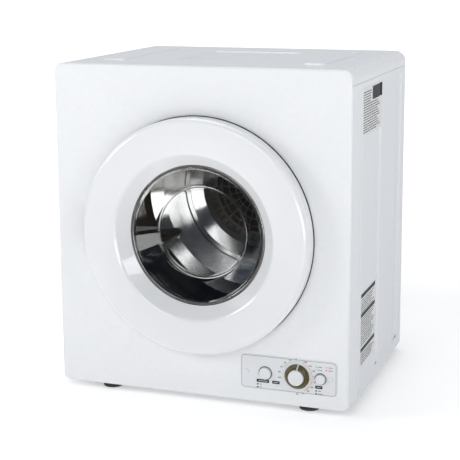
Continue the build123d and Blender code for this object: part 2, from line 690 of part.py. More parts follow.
def idler_wheel():
    """Nylon wheel that rolls on the inside of the drum belt."""
    y0 = IDLER_WHEEL_Y
    y1 = y0 + 16
    wheel = rod_y(IDLER_RADIUS, y0, y1, IDLER_X, IDLER_Z)
    wheel -= tube_y(IDLER_RADIUS - 3, 7.0, y0 - 1, y0 + 5, IDLER_X, IDLER_Z)
    wheel -= tube_y(IDLER_RADIUS - 3, 7.0, y1 - 5, y1 + 2, IDLER_X, IDLER_Z)
    return wheel - rod_y(IDLER_AXLE_RADIUS + RUNNING_GAP, y0 - 12, y1 + 12, IDLER_X, IDLER_Z)


def belt(wheels, y, half_width, thickness):
    """Flat belt stretched round the (x, z, radius) wheels."""

    def loop(extra):
        edges = []
        for x, z, radius in wheels:
            edges += (Pos(x, z) * Circle(radius + extra)).edges()
        return make_hull(edges)

    band = loop(BELT_GAP + thickness) - loop(BELT_GAP)
    return slab_y(band, y - half_width, y + half_width)


def drum_belt():
    """Ribbed belt from the motor pulley over the idler and round the drum."""
    wheels = (
        (0.0, DRUM_Z, DRUM_RADIUS),
        (IDLER_X, IDLER_Z, IDLER_RADIUS),
        (MOTOR_X, MOTOR_Z, DRUM_PULLEY_RADIUS),
    )
    return belt(wheels, DRUM_BELT_Y, 6.0, 2.5)


def fan_belt():
    """Narrow belt from the motor to the blower wheel."""
    wheels = ((0.0, DRUM_Z, FAN_PULLEY), (MOTOR_X, MOTOR_Z, MOTOR_FAN_PULLEY))
    return belt(wheels, FAN_BELT_Y, 2.2, 3.0)


# ---------------------------------------------------------------- door


def door_section():
    """Line of the door ring's outer face, from its rim over the crown to the window."""
    rim = Line((DOOR_RADIUS, FRONT - DOOR_GAP), (DOOR_RADIUS, FRONT - 28))
    shoulder = ThreePointArc(rim @ 1, (DOOR_RADIUS - 3.2, FRONT - 35.6), (DOOR_RADIUS - 11, FRONT - 38.6))
    crown = ThreePointArc(shoulder @ 1, (196.0, FRONT - DOOR_PROUD), (169.0, FRONT - 37.4))
    crease = ThreePointArc(crown @ 1, (164.0, FRONT - 36.1), (160.5, FRONT - 33.4))
    lip = Line(crease @ 1, (139.2, FRONT - 11.5))
    return rim + shoulder + crown + crease + lip


def door_ring():
    """Moulded door ring, hollow behind, with a notch for the hinge lugs."""
    profile = offset(door_section(), amount=DOOR_WALL, side=Side.RIGHT, closed=True)
    ring = turned(profile)
    notch_x = DOOR_SWING_X + 7
    ring -= block(-DOOR_RADIUS - 5, notch_x, FRONT - 33, FRONT - 2, DOOR_Z - 40, DOOR_Z + 40)
    return ring


def window_trim_ring():
    """Thin bright ring between the door moulding and the window."""
    return tube_y(137.4, WINDOW_RADIUS - 2.5, FRONT - 12, FRONT - 9.2)


def window_bowl():
    """Clear bowl-shaped window that keeps the laundry off the door."""
    outline = Polyline(
        (146.0, FRONT - 9),
        (BOWL_MOUTH_RADIUS - 4, FRONT - 9),
        (BOWL_FLAT_RADIUS - 2.5, BOWL_BOTTOM_Y - 4),
        (0.0, BOWL_BOTTOM_Y - 4),
        (0.0, BOWL_BOTTOM_Y),
        (BOWL_FLAT_RADIUS, BOWL_BOTTOM_Y),
        (BOWL_MOUTH_RADIUS, FRONT - 6.2),
        (146.0, FRONT - 6.2),
        close=True,
    )
    return turned(outline)


def door_inner_ring():
    """Flat ring that closes the back of the door and clamps the window."""
    ring = tube_y(DOOR_RADIUS - DOOR_WALL - 0.4, 141.0, FRONT - 6, FRONT - DOOR_GAP)
    ring -= block(-DOOR_RADIUS, -190, FRONT - 8, FRONT, DOOR_Z - 41, DOOR_Z + 41)
    return ring


def door_gasket():
    """Rubber seal on the back of the door that closes against the throat."""
    outline = Polyline(
        (142.0, FRONT - DOOR_GAP + 0.1),
        (158.0, FRONT - DOOR_GAP + 0.1),
        (162.0, FRONT + 1),
        (160.0, FRONT + 3),
        (152.0, FRONT + 1),
        (150.0, FRONT + 8),
        (145.0, FRONT + 8),
        close=True,
    )
    return turned(outline)


def latch_hook():
    """Hook on the door that snaps into the catch."""
    stem = block(LATCH_X - 2, LATCH_X + 2, FRONT - 3.9, FRONT + 13, DOOR_Z - 7, DOOR_Z + 7)
    barb = block(LATCH_X + 1, LATCH_X + 4.5, FRONT + 9, FRONT + 13, DOOR_Z - 7, DOOR_Z + 7)
    base = block(LATCH_X - 8, LATCH_X + 8, FRONT - 3.9, FRONT - 1.9, DOOR_Z - 11, DOOR_Z + 11)
    return stem + barb + base


def hinge_leaf():
    """Door half of the hinge: a knuckle on the pin and a plate screwed to the inner ring."""
    z0 = DOOR_Z - 29.5
    z1 = DOOR_Z + 29.5
    x = DOOR_SWING_X
    knuckle = rod_z(5.0, z0, z1, x, DOOR_SWING_Y)
    web = block(x + 2, x + 6, DOOR_SWING_Y, FRONT - 6.3, z0, z1)
    plate = block(x + 2, -172, FRONT - 8.3, FRONT - 6.3, z0, z1)
    leaf = knuckle + web + plate
    return leaf - rod_z(HINGE_PIN_RADIUS + RUNNING_GAP, z0 - 1, z1 + 1, x, DOOR_SWING_Y)


def hinge_bracket():
    """Cabinet half of the hinge: a plate on the front with two lugs."""
    x = DOOR_SWING_X
    bracket = block(x - 5, x + 25, FRONT - 2.2, FRONT, DOOR_Z - 44, DOOR_Z + 44)
    for z in (DOOR_Z - 34, DOOR_Z + 30):
        lug = block(x - 5, x + 5, DOOR_SWING_Y, FRONT - 1, z, z + 4)
        lug += rod_z(5.0, z, z + 4, x, DOOR_SWING_Y)
        bracket += lug
    hole = HINGE_PIN_RADIUS + RUNNING_GAP
    return bracket - rod_z(hole, DOOR_Z - 50, DOOR_Z + 50, x, DOOR_SWING_Y)


def hinge_pin():
    """Steel pin that the door swings on, with a head above the upper lug."""
    pin = rod_z(HINGE_PIN_RADIUS, DOOR_Z - 37, DOOR_Z + 36, DOOR_SWING_X, DOOR_SWING_Y)
    return pin + rod_z(4.0, DOOR_Z + 34.2, DOOR_Z + 36, DOOR_SWING_X, DOOR_SWING_Y)


def door_screws():
    """Screws that hold the inner ring to the door moulding."""
    heads = []
    for x, z, _ in around(8, 205.0, 22.5, DOOR_Z):
        heads.append(rod_y(3.2, FRONT - DOOR_GAP, FRONT - DOOR_GAP + 1.5, x, z))
    return Compound(children=heads)


def latch_catch():
    """Plastic catch behind the front that holds the door hook."""
    y0 = FRONT + SHEET + 0.2
    catch = block(LATCH_X - 11, LATCH_X + 14, y0, FRONT + 24, DOOR_Z - 18, DOOR_Z + 18)
    return catch - block(LATCH_X - 6, LATCH_X + 9, y0 - 1, FRONT + 20, DOOR_Z - 12, DOOR_Z + 12)


def door_switch():
    """Switch above the catch that stops the drum when the door opens."""
    x0 = LATCH_X - 8
    body = block(x0, x0 + 18, FRONT + 6, FRONT + 26, DOOR_Z + 20, DOOR_Z + 48)
    plunger = rod_y(2.5, FRONT + 1.4, FRONT + 7, x0 + 9, DOOR_Z + 34)
    return body + plunger


# ---------------------------------------------------------------- controls


def control_plate():
    """Thin plate round the knob and buttons."""
    plate = slab_y(
        Pos(PLATE_X, PLATE_Z) * RectangleRounded(PLATE_WIDTH, PLATE_HEIGHT, 8.0),
        FRONT - PLATE_THICKNESS,
        FRONT,
    )
    plate -= rod_y(START_RADIUS + BUTTON_CLEARANCE, FRONT - 3, FRONT + 1, START_X, CONTROL_Z)
    plate -= rod_y(HEAT_RADIUS + BUTTON_CLEARANCE, FRONT - 3, FRONT + 1, HEAT_X, CONTROL_Z)
    plate -= rod_y(BUSHING_HOLE, FRONT - 3, FRONT + 1, KNOB_X, CONTROL_Z)
    return plate


def plate_screw_caps():
    """Two round caps that hide the plate's screws."""
    caps = []
    for x in CAP_XS:
        cap = rod_y(CAP_RADIUS, FRONT - PLATE_THICKNESS - 2, FRONT - PLATE_THICKNESS, x, CONTROL_Z)
        caps.append(fillet(cap.edges().sort_by(Axis.Y)[0], 1.2))
    return Compound(children=caps)


def push_button(x, radius):
    """Round button with a retaining collar behind the front."""
    button = rod_y(radius, FRONT - 7, FRONT + 12, x, CONTROL_Z)
    button = fillet(button.edges().sort_by(Axis.Y)[0], 1.8)
    return button + rod_y(radius + 2.2, FRONT + 1.6, FRONT + 4, x, CONTROL_Z)


def switch_body(x, half_width):
    """Switch that a button works on."""
    body = block(x - half_width, x + half_width, FRONT + 19, FRONT + 41, CONTROL_Z - 14, CONTROL_Z + 14)
    for dz in (-7, 7):
        body += block(x - 3, x + 3, FRONT + 40, FRONT + 49, CONTROL_Z + dz - 0.4, CONTROL_Z + dz + 0.4)
    return body


def timer_knob():
    """Knob skirt with its spindle."""
    outline = Polyline(
        (0.0, KNOB_FACE_Y + 1.2),
        (KNOB_FACE_RADIUS - 1.5, KNOB_FACE_Y),
        (KNOB_FACE_RADIUS, KNOB_FACE_Y + 0.6),
        (KNOB_RADIUS - 0.8, FRONT - 3.5),
        (KNOB_RADIUS, FRONT - 1.8),
        (0.0, FRONT - 1.8),
        close=True,
    )
    skirt = turned(outline, KNOB_X, CONTROL_Z)
    return skirt + rod_y(SPINDLE_RADIUS, FRONT - 3, FRONT + 20, KNOB_X, CONTROL_Z)


def knob_cap():
    """Pale crown of the knob that the user turns it by."""
    crown = rod_y(CROWN_RADIUS, CROWN_Y, KNOB_FACE_Y + 0.6, KNOB_X, CONTROL_Z)
    crown = fillet(crown.edges().sort_by(Axis.Y)[0], 1.5)
    return crown - turned(
        Polyline(
            (0.0, KNOB_FACE_Y + 1.2),
            (KNOB_FACE_RADIUS - 1.5, KNOB_FACE_Y),
            (KNOB_FACE_RADIUS, KNOB_FACE_Y + 0.6),
            (KNOB_FACE_RADIUS, FRONT),
            (0.0, FRONT),
            close=True,
        ),
        KNOB_X,
        CONTROL_Z,
    )


def timer_body():
    """Clockwork timer behind the front, with the bushing of the knob's spindle."""
    body = block(KNOB_X - 28, KNOB_X + 28, FRONT + 4, FRONT + 46, CONTROL_Z - 28, CONTROL_Z + 28)
    body += rod_y(5.6, FRONT - 0.8, FRONT + 5, KNOB_X, CONTROL_Z)
    return body - rod_y(SPINDLE_RADIUS + RUNNING_GAP, FRONT - 3, FRONT + 21, KNOB_X, CONTROL_Z)


# ---------------------------------------------------------------- all pieces

PIECES = {
    "front_panel": front_panel,
    "top_cover": top_cover,
    "left_side_panel": lambda: side_panel(-1),
    "right_side_panel": lambda: side_panel(1),
    "base_pan": base_pan,
    "rear_panel": rear_panel,
    "exhaust_collar": exhaust_collar,
    "case_screws": case_screws,
    "cord_gland": cord_gland,
    "foot_front_left": lambda: foot(0),
    "foot_front_right": lambda: foot(1),
    "foot_rear_left": lambda: foot(2),
    "foot_rear_right": lambda: foot(3),
    "front_bulkhead": front_bulkhead,
    "front_felt_seal": front_felt_seal,
    "drum_shell": drum_shell,
    "drum_back": drum_back,
    "drum_hub": drum_hub,
    "drum_baffle_1": lambda: drum_baffle(0),
    "drum_baffle_2": lambda: drum_baffle(1),
    "drum_baffle_3": lambda: drum_baffle(2),
    "drum_shaft": drum_shaft,
    "filter_grille": filter_grille,
    "filter_mesh": filter_mesh,
    "rear_duct": rear_duct,
    "fan_housing": fan_housing,
    "heater_box": heater_box,
    "heater_element": heater_element,
    "thermostats": thermostats,
    "fan_wheel": fan_wheel,
    "motor_casing": motor_casing,
    "motor_rotor": motor_rotor,
    "motor_bracket": motor_bracket,
    "capacitor": capacitor,
    "idler_bracket": idler_bracket,
    "idler_arm": idler_arm,
    "idler_wheel": idler_wheel,
    "drum_belt": drum_belt,
    "fan_belt": fan_belt,
    "door_ring": door_ring,
    "window_trim_ring": window_trim_ring,
    "window_bowl": window_bowl,
    "door_inner_ring": door_inner_ring,
    "door_gasket": door_gasket,
    "latch_hook": latch_hook,
    "hinge_leaf": hinge_leaf,
    "hinge_bracket": hinge_bracket,
    "hinge_pin": hinge_pin,
    "door_screws": door_screws,
    "latch_catch": latch_catch,
    "door_switch": door_switch,
    "control_plate": control_plate,
    "plate_screw_caps": plate_screw_caps,
    "start_button": lambda: push_button(START_X, START_RADIUS),
    "heat_button": lambda: push_button(HEAT_X, HEAT_RADIUS),
    "start_switch": lambda: switch_body(START_X, 12.0),
    "heat_switch": lambda: switch_body(HEAT_X + 2, 9.0),
    "timer_knob": timer_knob,
    "knob_cap": knob_cap,
    "timer_body": timer_body,
}

if __name__ == "__main__":
    os.makedirs("parts", exist_ok=True)
    for name, make in PIECES.items():
        export_step(single(make()), f"parts/{name}.step")
        print(name)
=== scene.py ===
import math
import random

import bmesh
import bpy
from mathutils import Matrix, Vector


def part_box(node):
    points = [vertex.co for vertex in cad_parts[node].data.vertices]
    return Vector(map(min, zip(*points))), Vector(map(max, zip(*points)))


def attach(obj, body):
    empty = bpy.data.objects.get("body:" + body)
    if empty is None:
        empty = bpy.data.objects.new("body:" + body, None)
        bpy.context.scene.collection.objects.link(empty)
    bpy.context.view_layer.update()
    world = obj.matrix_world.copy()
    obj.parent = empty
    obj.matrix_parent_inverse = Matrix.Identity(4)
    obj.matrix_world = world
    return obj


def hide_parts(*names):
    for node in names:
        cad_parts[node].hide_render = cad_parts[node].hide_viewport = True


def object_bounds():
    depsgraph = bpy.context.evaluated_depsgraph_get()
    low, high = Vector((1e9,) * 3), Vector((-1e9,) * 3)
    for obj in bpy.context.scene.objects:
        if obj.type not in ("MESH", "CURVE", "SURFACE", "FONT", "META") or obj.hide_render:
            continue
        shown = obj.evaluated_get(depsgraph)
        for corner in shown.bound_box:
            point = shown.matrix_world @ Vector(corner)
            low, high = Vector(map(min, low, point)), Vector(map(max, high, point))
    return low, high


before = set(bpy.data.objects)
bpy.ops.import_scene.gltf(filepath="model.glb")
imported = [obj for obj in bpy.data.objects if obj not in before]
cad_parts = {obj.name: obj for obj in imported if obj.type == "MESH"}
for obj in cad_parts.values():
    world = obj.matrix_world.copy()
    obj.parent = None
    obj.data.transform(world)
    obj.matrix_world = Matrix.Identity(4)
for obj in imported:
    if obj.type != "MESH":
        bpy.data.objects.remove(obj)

cad_low, cad_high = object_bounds()
scene = bpy.context.scene


# ------------------------------------------------------------------ camera and studio
# The camera stands in front of the dryer, a little to its right and above it. The floor is a
# pale seamless sweep, lit by soft boxes on the left, on the right and overhead and a broad
# panel over the front. Two low cards only show as reflections in the gloss and the steel.

YAW, PITCH, ROLL = (math.radians(angle) for angle in (19.66, 10.94, -0.34))
CAMERA_PLACE = Vector((0.8464, -2.4168, 0.8800))

level_forward = Vector((-math.sin(YAW), math.cos(YAW), 0.0))
forward = level_forward * math.cos(PITCH) - Vector((0, 0, math.sin(PITCH)))
level_right = Vector((math.cos(YAW), math.sin(YAW), 0.0))
level_up = level_right.cross(forward)
camera_right = level_right * math.cos(ROLL) + level_up * math.sin(ROLL)
camera_up = level_up * math.cos(ROLL) - level_right * math.sin(ROLL)

camera_data = bpy.data.cameras.new("studio_camera")
camera_data.sensor_width = 36.0
camera_data.lens = 96.94
camera_data.shift_y = -0.08
camera_data.clip_end = 60.0
camera = bpy.data.objects.new("studio_camera", camera_data)
scene.collection.objects.link(camera)
camera_turn = Matrix((camera_right, camera_up, -forward)).transposed()
camera.matrix_world = Matrix.Translation(CAMERA_PLACE) @ camera_turn.to_4x4()
scene.camera = camera
scene.view_settings.view_transform = "Standard"


def soft_box(name, place, aim, width, height, watts, mirrored_only=False):
    """Rectangular studio light that points at aim. A mirrored one shows in reflections and lights nothing."""
    light = bpy.data.lights.new(name, "AREA")
    light.shape = "RECTANGLE"
    light.size = width
    light.size_y = height
    light.energy = watts
    holder = bpy.data.objects.new(name, light)
    scene.collection.objects.link(holder)
    holder.location = place
    holder.rotation_euler = (Vector(aim) - Vector(place)).to_track_quat("-Z", "Y").to_euler()
    holder.visible_camera = False
    holder.visible_diffuse = not mirrored_only


soft_box("key_soft_box", (-2.35, -1.75, 1.25), (0, -0.1, 0.35), 0.8, 0.9, 18)
soft_box("right_soft_box", (2.35, -1.45, 1.66), (0, 0, 0.35), 0.50, 1.4, 8)
soft_box("front_panel_light", (0.5, -3.4, 2.1), (0, 0, 0.35), 2.4, 0.8, 17)
soft_box("low_card", (0.95, -1.80, 0.30), (-0.16, 0.1, 0.37), 1.30, 0.50, 7.0, True)
soft_box("floor_card", (0.60, -1.32, 0.02), (0.58, -1.20, 1.0), 0.80, 0.50, 1.3, True)
soft_box("top_light", (-0.2, 0.3, 3.2), (0, 0, 0.5), 2.0, 1.6, 26)


def add(tree, kind, inputs=None, **settings):
    """Put a shader node in the tree. Each input is a value, or a socket to wire to it."""
    node = tree.nodes.new("ShaderNode" + kind)
    for key, value in settings.items():
        setattr(node, key, value)
    for socket, value in (inputs or {}).items():
        if isinstance(value, bpy.types.NodeSocket):
            tree.links.new(value, node.inputs[socket])
        else:
            node.inputs[socket].default_value = value
    return node


world = bpy.data.worlds.new("studio_room")
scene.world = world
world.use_nodes = True
room = world.node_tree
room.nodes.clear()
room_rays = add(room, "LightPath").outputs
room_height = add(room, "SeparateXYZ", {0: add(room, "TexCoord").outputs["Generated"]}).outputs
room_lift = add(room, "MapRange", {"From Min": -1.0, "Value": room_height["Z"]})
room_shades = add(room, "ValToRGB", {"Fac": room_lift.outputs["Result"]})
shades = ((0.30, (0.155, 0.128, 0.100, 1)), (0.62, (0.050, 0.062, 0.085, 1)))
for stop, (position, shade) in zip(room_shades.color_ramp.elements, shades):
    stop.position = position
    stop.color = shade
room_behind = add(room, "MapRange", {"From Min": 0.0, "From Max": 0.25, "Value": room_height["Y"]})
room_depths = add(
    room, "Mix",
    {"Factor": room_behind.outputs["Result"], 6: room_shades.outputs["Color"], 7: (0.60, 0.62, 0.65, 1)},
    data_type="RGBA",
)
room_dark = add(room, "Background", {"Color": room_depths.outputs[2]}).outputs[0]
room_glow = add(room, "Background", {"Color": (0.93, 0.96, 1.0, 1), "Strength": 0.38}).outputs[0]
room_white = add(room, "Background", {"Color": (1, 1, 1, 1), "Strength": 1.1}).outputs[0]
room_mirror = add(room, "MixShader", {"Fac": room_rays["Is Glossy Ray"], 1: room_glow, 2: room_dark})
room_seen = add(
    room, "MixShader", {"Fac": room_rays["Is Camera Ray"], 1: room_mirror.outputs[0], 2: room_white}
)
add(room, "OutputWorld", {"Surface": room_seen.outputs[0]})

FLOOR_HALF = 20.0
floor_mesh = bpy.data.meshes.new("studio_floor")
floor_corners = [(x * FLOOR_HALF, y * FLOOR_HALF, 0) for x, y in ((-1, -1), (1, -1), (1, 1), (-1, 1))]
floor_mesh.from_pydata(floor_corners, [], [(0, 1, 2, 3)])
studio_floor = bpy.data.objects.new("studio_floor", floor_mesh)
scene.collection.objects.link(studio_floor)
floor_paint = bpy.data.materials.new("floor_paint")
floor_paint.use_nodes = True
floor_tree = floor_paint.node_tree
floor_shader = floor_tree.nodes["Principled BSDF"]
floor_shader.inputs["Base Color"].default_value = (0.94, 0.94, 0.94, 1)
floor_shader.inputs["Roughness"].default_value = 0.85
floor_shader.inputs["Specular IOR Level"].default_value = 0.1
floor_shader.inputs["Emission Color"].default_value = (1, 1, 1, 1)
floor_reach = add(
    floor_tree, "VectorMath", {0: add(floor_tree, "TexCoord").outputs["Object"]}, operation="LENGTH"
)
floor_glow = {"From Min": 0.7, "From Max": 3.0, "To Min": 0.36, "To Max": 0.90}
floor_lift = add(floor_tree, "MapRange", {**floor_glow, "Value": floor_reach.outputs["Value"]})
floor_tree.links.new(floor_lift.outputs["Result"], floor_shader.inputs["Emission Strength"])
floor_mesh.materials.append(floor_paint)
studio_floor.visible_glossy = False
studio_floor.visible_transmission = False


# ------------------------------------------------------------------ painted steel cabinet
# The front, the lid and the two sides are deep-drawn steel sheets with a stoved white enamel:
# glossy, with a faint orange-peel ripple, the bends painted lighter as a painted highlight, the
# inner corners darkened as dirt and painted shade, and a little dust lying on what faces up.
# The lid has two raised pads and a sunk middle field.


def calc(tree, operation, first, second):
    """Result of a math node; each input is a number or a socket."""
    return add(tree, "Math", {0: first, 1: second}, operation=operation).outputs[0]


def new_effect(name, inputs, outputs):
    """Empty shader group with its named sockets; returns the tree, its input and its output node."""
    tree = bpy.data.node_groups.new(name, "ShaderNodeTree")
    for socket, kind, value in inputs:
        made = tree.interface.new_socket(socket, in_out="INPUT", socket_type="NodeSocket" + kind)
        if value is not None:
            made.default_value = value
    for socket, kind in outputs:
        tree.interface.new_socket(socket, in_out="OUTPUT", socket_type="NodeSocket" + kind)
    return tree, tree.nodes.new("NodeGroupInput"), tree.nodes.new("NodeGroupOutput")


# Lacquer skin: a fine ripple for the normal and broad smears for the roughness.
lacquer_skin, skin_in, skin_out = new_effect(
    "lacquer_skin",
    [("Place", "Vector", None), ("Ripple Size", "Float", 0.003), ("Smear Size", "Float", 0.12)],
    [("Ripple", "Float"), ("Smear", "Float")],
)
ripple_scale = calc(lacquer_skin, "DIVIDE", 1.0, skin_in.outputs["Ripple Size"])
smear_scale = calc(lacquer_skin, "DIVIDE", 1.0, skin_in.outputs["Smear Size"])
ripple_noise = add(
    lacquer_skin, "TexNoise",
    {"Detail": 2.0, "Roughness": 0.45, "Vector": skin_in.outputs["Place"], "Scale": ripple_scale},
)
smear_noise = add(
    lacquer_skin, "TexNoise",
    {
        "Detail": 5.0, "Roughness": 0.6, "Distortion": 0.8, "Vector": skin_in.outputs["Place"],
        "Scale": smear_scale,
    },
)
smear_range = add(
    lacquer_skin, "MapRange", {"From Min": 0.35, "From Max": 0.68, "Value": smear_noise.outputs["Fac"]}
)
lacquer_skin.links.new(ripple_noise.outputs["Fac"], skin_out.inputs["Ripple"])
lacquer_skin.links.new(smear_range.outputs["Result"], skin_out.inputs["Smear"])

# Edge rub: a mask on sharp bends and corners, for wear and, where it lightens a colour, a painted highlight;
# and a mask on inner corners, where the colour darkens as dirt and as painted shade.
edge_rub, rub_in, rub_out = new_effect(
    "edge_rub", [("Place", "Vector", None), ("Break Size", "Float", 0.01)],
    [("Edge Wear And Highlight", "Float"), ("Dirt And Shade", "Float")],
)
rub_shape = add(edge_rub, "NewGeometry")
rub_scale = calc(edge_rub, "DIVIDE", 1.0, rub_in.outputs["Break Size"])
rub_noise = add(
    edge_rub, "TexNoise",
    {"Detail": 4.0, "Roughness": 0.65, "Vector": rub_in.outputs["Place"], "Scale": rub_scale},
)
rub_high = add(
    edge_rub, "MapRange", {"From Min": 0.52, "From Max": 0.60, "Value": rub_shape.outputs["Pointiness"]}
)
rub_low = add(
    edge_rub, "MapRange", {"From Min": 0.485, "From Max": 0.42, "Value": rub_shape.outputs["Pointiness"]}
)
rub_wear_and_highlight = calc(edge_rub, "MULTIPLY", rub_high.outputs["Result"], rub_noise.outputs["Fac"])
rub_dirt_and_shade = calc(edge_rub, "MULTIPLY", rub_low.outputs["Result"], rub_noise.outputs["Fac"])
edge_rub.links.new(rub_wear_and_highlight, rub_out.inputs["Edge Wear And Highlight"])
edge_rub.links.new(rub_dirt_and_shade, rub_out.inputs["Dirt And Shade"])

# Dust film: specks and a thin veil on the surfaces that face up.
dust_film, dust_in, dust_out = new_effect(
    "dust_film", [("Place", "Vector", None), ("Speck Size", "Float", 0.0015)], [("Veil", "Float")]
)
dust_coords = add(dust_film, "TexCoord")
dust_up = add(dust_film, "SeparateXYZ", {0: dust_coords.outputs["Normal"]})
dust_facing = add(dust_film, "MapRange", {"From Min": 0.55, "From Max": 1.0, "Value": dust_up.outputs["Z"]})
dust_scale = calc(dust_film, "DIVIDE", 1.0, dust_in.outputs["Speck Size"])
dust_noise = add(
    dust_film, "TexNoise",
    {"Detail": 6.0, "Roughness": 0.75, "Vector": dust_in.outputs["Place"], "Scale": dust_scale},
)
dust_speck = add(
    dust_film, "MapRange", {"From Min": 0.45, "From Max": 0.8, "Value": dust_noise.outputs["Fac"]}
)
dust_mask = calc(dust_film, "MULTIPLY", dust_speck.outputs["Result"], dust_facing.outputs["Result"])
dust_film.links.new(dust_mask, dust_out.inputs["Veil"])


def start_finish(name, **sockets):
    """New material with constants set on its shader; returns the material, its tree, shader and place."""
    material = bpy.data.materials.new(name)
    material.use_nodes = True
    tree = material.node_tree
    shader = tree.nodes["Principled BSDF"]
    for socket, value in sockets.items():
        shader.inputs[socket.replace("_", " ")].default_value = value
    place = add(tree, "TexCoord").outputs["Object"]
    return material, tree, shader, place


def use_effect(tree, effect, values, place):
    """Put one of the shader groups in a material."""
    node = tree.nodes.new("ShaderNodeGroup")
    node.node_tree = effect
    for socket, value in values.items():
        node.inputs[socket].default_value = value
    tree.links.new(place, node.inputs["Place"])
    return node


def mix_tone(tree, mask, first, second):
    """Colour that goes from first to second with the mask. Each may be a colour or a socket."""
    node = tree.nodes.new("ShaderNodeMix")
    node.data_type = "RGBA"
    tree.links.new(mask, node.inputs["Factor"])
    for socket, tone in ((node.inputs[6], first), (node.inputs[7], second)):
        if isinstance(tone, tuple):
            socket.default_value = (*tone, 1.0)
        else:
            tree.links.new(tone, socket)
    return node.outputs[2]


def spread(tree, mask, low, high):
    """Number that goes from low to high as the mask goes from 0 to 1."""
    return add(tree, "MapRange", {"To Min": low, "To Max": high, "Value": mask}).outputs["Result"]


def raise_bumps(tree, shader, height, depth, strength=1.0):
    """Bump from a height of the given depth in metres, laid over whatever the shader's normal has."""
    bump = add(tree, "Bump", {"Strength": strength, "Distance": depth, "Height": height})
    if shader.inputs["Normal"].is_linked:
        tree.links.new(shader.inputs["Normal"].links[0].from_socket, bump.inputs["Normal"])
    tree.links.new(bump.outputs["Normal"], shader.inputs["Normal"])


def lacquered_steel(name, tone, worn_lit_edge_tone, roughness):
    """Stoved enamel on sheet steel."""
    material, tree, shader, place = start_finish(name, Coat_Weight=0.35, Coat_Roughness=0.08)
    skin = use_effect(tree, lacquer_skin, {"Ripple Size": 0.004, "Smear Size": 0.16}, place)
    rub = use_effect(tree, edge_rub, {"Break Size": 0.012}, place)
    dust = use_effect(tree, dust_film, {"Speck Size": 0.0012}, place)
    # Sharp bends are mixed towards a lighter tone: a painted highlight on the edges, with some wear.
    base = mix_tone(tree, rub.outputs["Edge Wear And Highlight"], tone, worn_lit_edge_tone)
    # Inner corners are darkened: dirt and painted shade.
    corner_dirt_and_shade = mix_tone(tree, spread(tree, rub.outputs["Dirt And Shade"], 0.0, 0.5), base, (0.42, 0.41, 0.39))
    dusty = mix_tone(tree, spread(tree, dust.outputs["Veil"], 0.0, 0.10), corner_dirt_and_shade, (0.62, 0.60, 0.57))
    tree.links.new(dusty, shader.inputs["Base Color"])
    shine = calc(
        tree, "ADD", spread(tree, skin.outputs["Smear"], roughness - 0.006, roughness + 0.010),
        spread(tree, dust.outputs["Veil"], 0.0, 0.25),
    )
    tree.links.new(shine, shader.inputs["Roughness"])
    raise_bumps(tree, shader, skin.outputs["Ripple"], 0.00002, 0.55)
    return material


def paint(material, *nodes):
    """Give carried-over CAD nodes a finish."""
    for node in nodes:
        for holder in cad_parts[node].material_slots:
            holder.material = material


white_enamel = lacquered_steel("white_enamel_skin", (0.845, 0.860, 0.880), (0.93, 0.935, 0.945), 0.26)
paint(white_enamel, "front_panel", "top_cover", "left_side_panel", "right_side_panel")


# ------------------------------------------------------------------ hems of the front's side flanges
# Where each side flange ends above the base tray, a short strip of the same enamelled sheet
# covers the tray's folded edge down to the floor of the cabinet, with a wing that closes the
# rounded corner of the front from behind.


def set_piece(mesh, body, slot_name, material, crisp_angle=35.0):
    """Turn a mesh into a piece that rides on a body, with smooth faces and crisp corners."""
    shaped = bmesh.new()
    shaped.from_mesh(mesh)
    bmesh.ops.recalc_face_normals(shaped, faces=shaped.faces[:])
    for face in shaped.faces:
        face.smooth = True
    for edge in shaped.edges:
        edge.smooth = len(edge.link_faces) == 2 and edge.calc_face_angle() < math.radians(crisp_angle)
    shaped.to_mesh(mesh)
    shaped.free()
    mesh.materials.append(material)
    piece = bpy.data.objects.new(mesh.name, mesh)
    scene.collection.objects.link(piece)
    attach(piece, body)
    return piece


def close_strip(drawn, sections):
    """Join rings of corners into a closed tube and cap its ends."""
    for here, there in zip(sections, sections[1:]):
        for corner in range(len(here)):
            after = (corner + 1) % len(here)
            drawn.faces.new((here[corner], here[after], there[after], there[corner]))
    drawn.faces.new(sections[0])
    drawn.faces.new(list(reversed(sections[-1])))


def drawn_piece(drawn, name, *fixing):
    """Make a drawing into a piece; fixing is what set_piece takes after the mesh."""
    mesh = bpy.data.meshes.new(name)
    drawn.to_mesh(mesh)
    drawn.free()
    return set_piece(mesh, *fixing)


front_low, front_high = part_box("front_panel")
tray_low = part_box("base_pan")[0]
HEM_RISE = 0.0152
hem_back = front_low.y + 0.0690
for side, edge_x in (("left", front_low.x), ("right", front_high.x)):
    inward = 1 if side == "left" else -1
    hem = bmesh.new()
    hem_sections = []
    for y in (front_low.y + 0.0251, hem_back - 0.0004, hem_back):
        trim = 0.0003 if y == hem_back else 0.0
        corners = (
            (0.0001 + trim, HEM_RISE), (0.0001 + trim, 0.0012), (0.0003 + trim, 0.0004 + trim),
            (0.0008, 0.0004 + trim), (0.0010, HEM_RISE),
        )
        hem_sections.append(
            [hem.verts.new((edge_x + inward * inset, y, tray_low.z + rise)) for inset, rise in corners]
        )
    close_strip(hem, hem_sections)
    wing_sections = []
    for y in (front_low.y + 0.0251, front_low.y + 0.0254):
        corners = ((0.0012, HEM_RISE), (0.0140, HEM_RISE), (0.0140, 0.0004), (0.0012, 0.0004))
        wing_sections.append(
            [hem.verts.new((edge_x + inward * inset, y, tray_low.z + rise)) for inset, rise in corners]
        )
    close_strip(hem, wing_sections)
    drawn_piece(hem, "flange_hem_" + side, "cabinet", "white_enamel", white_enamel)
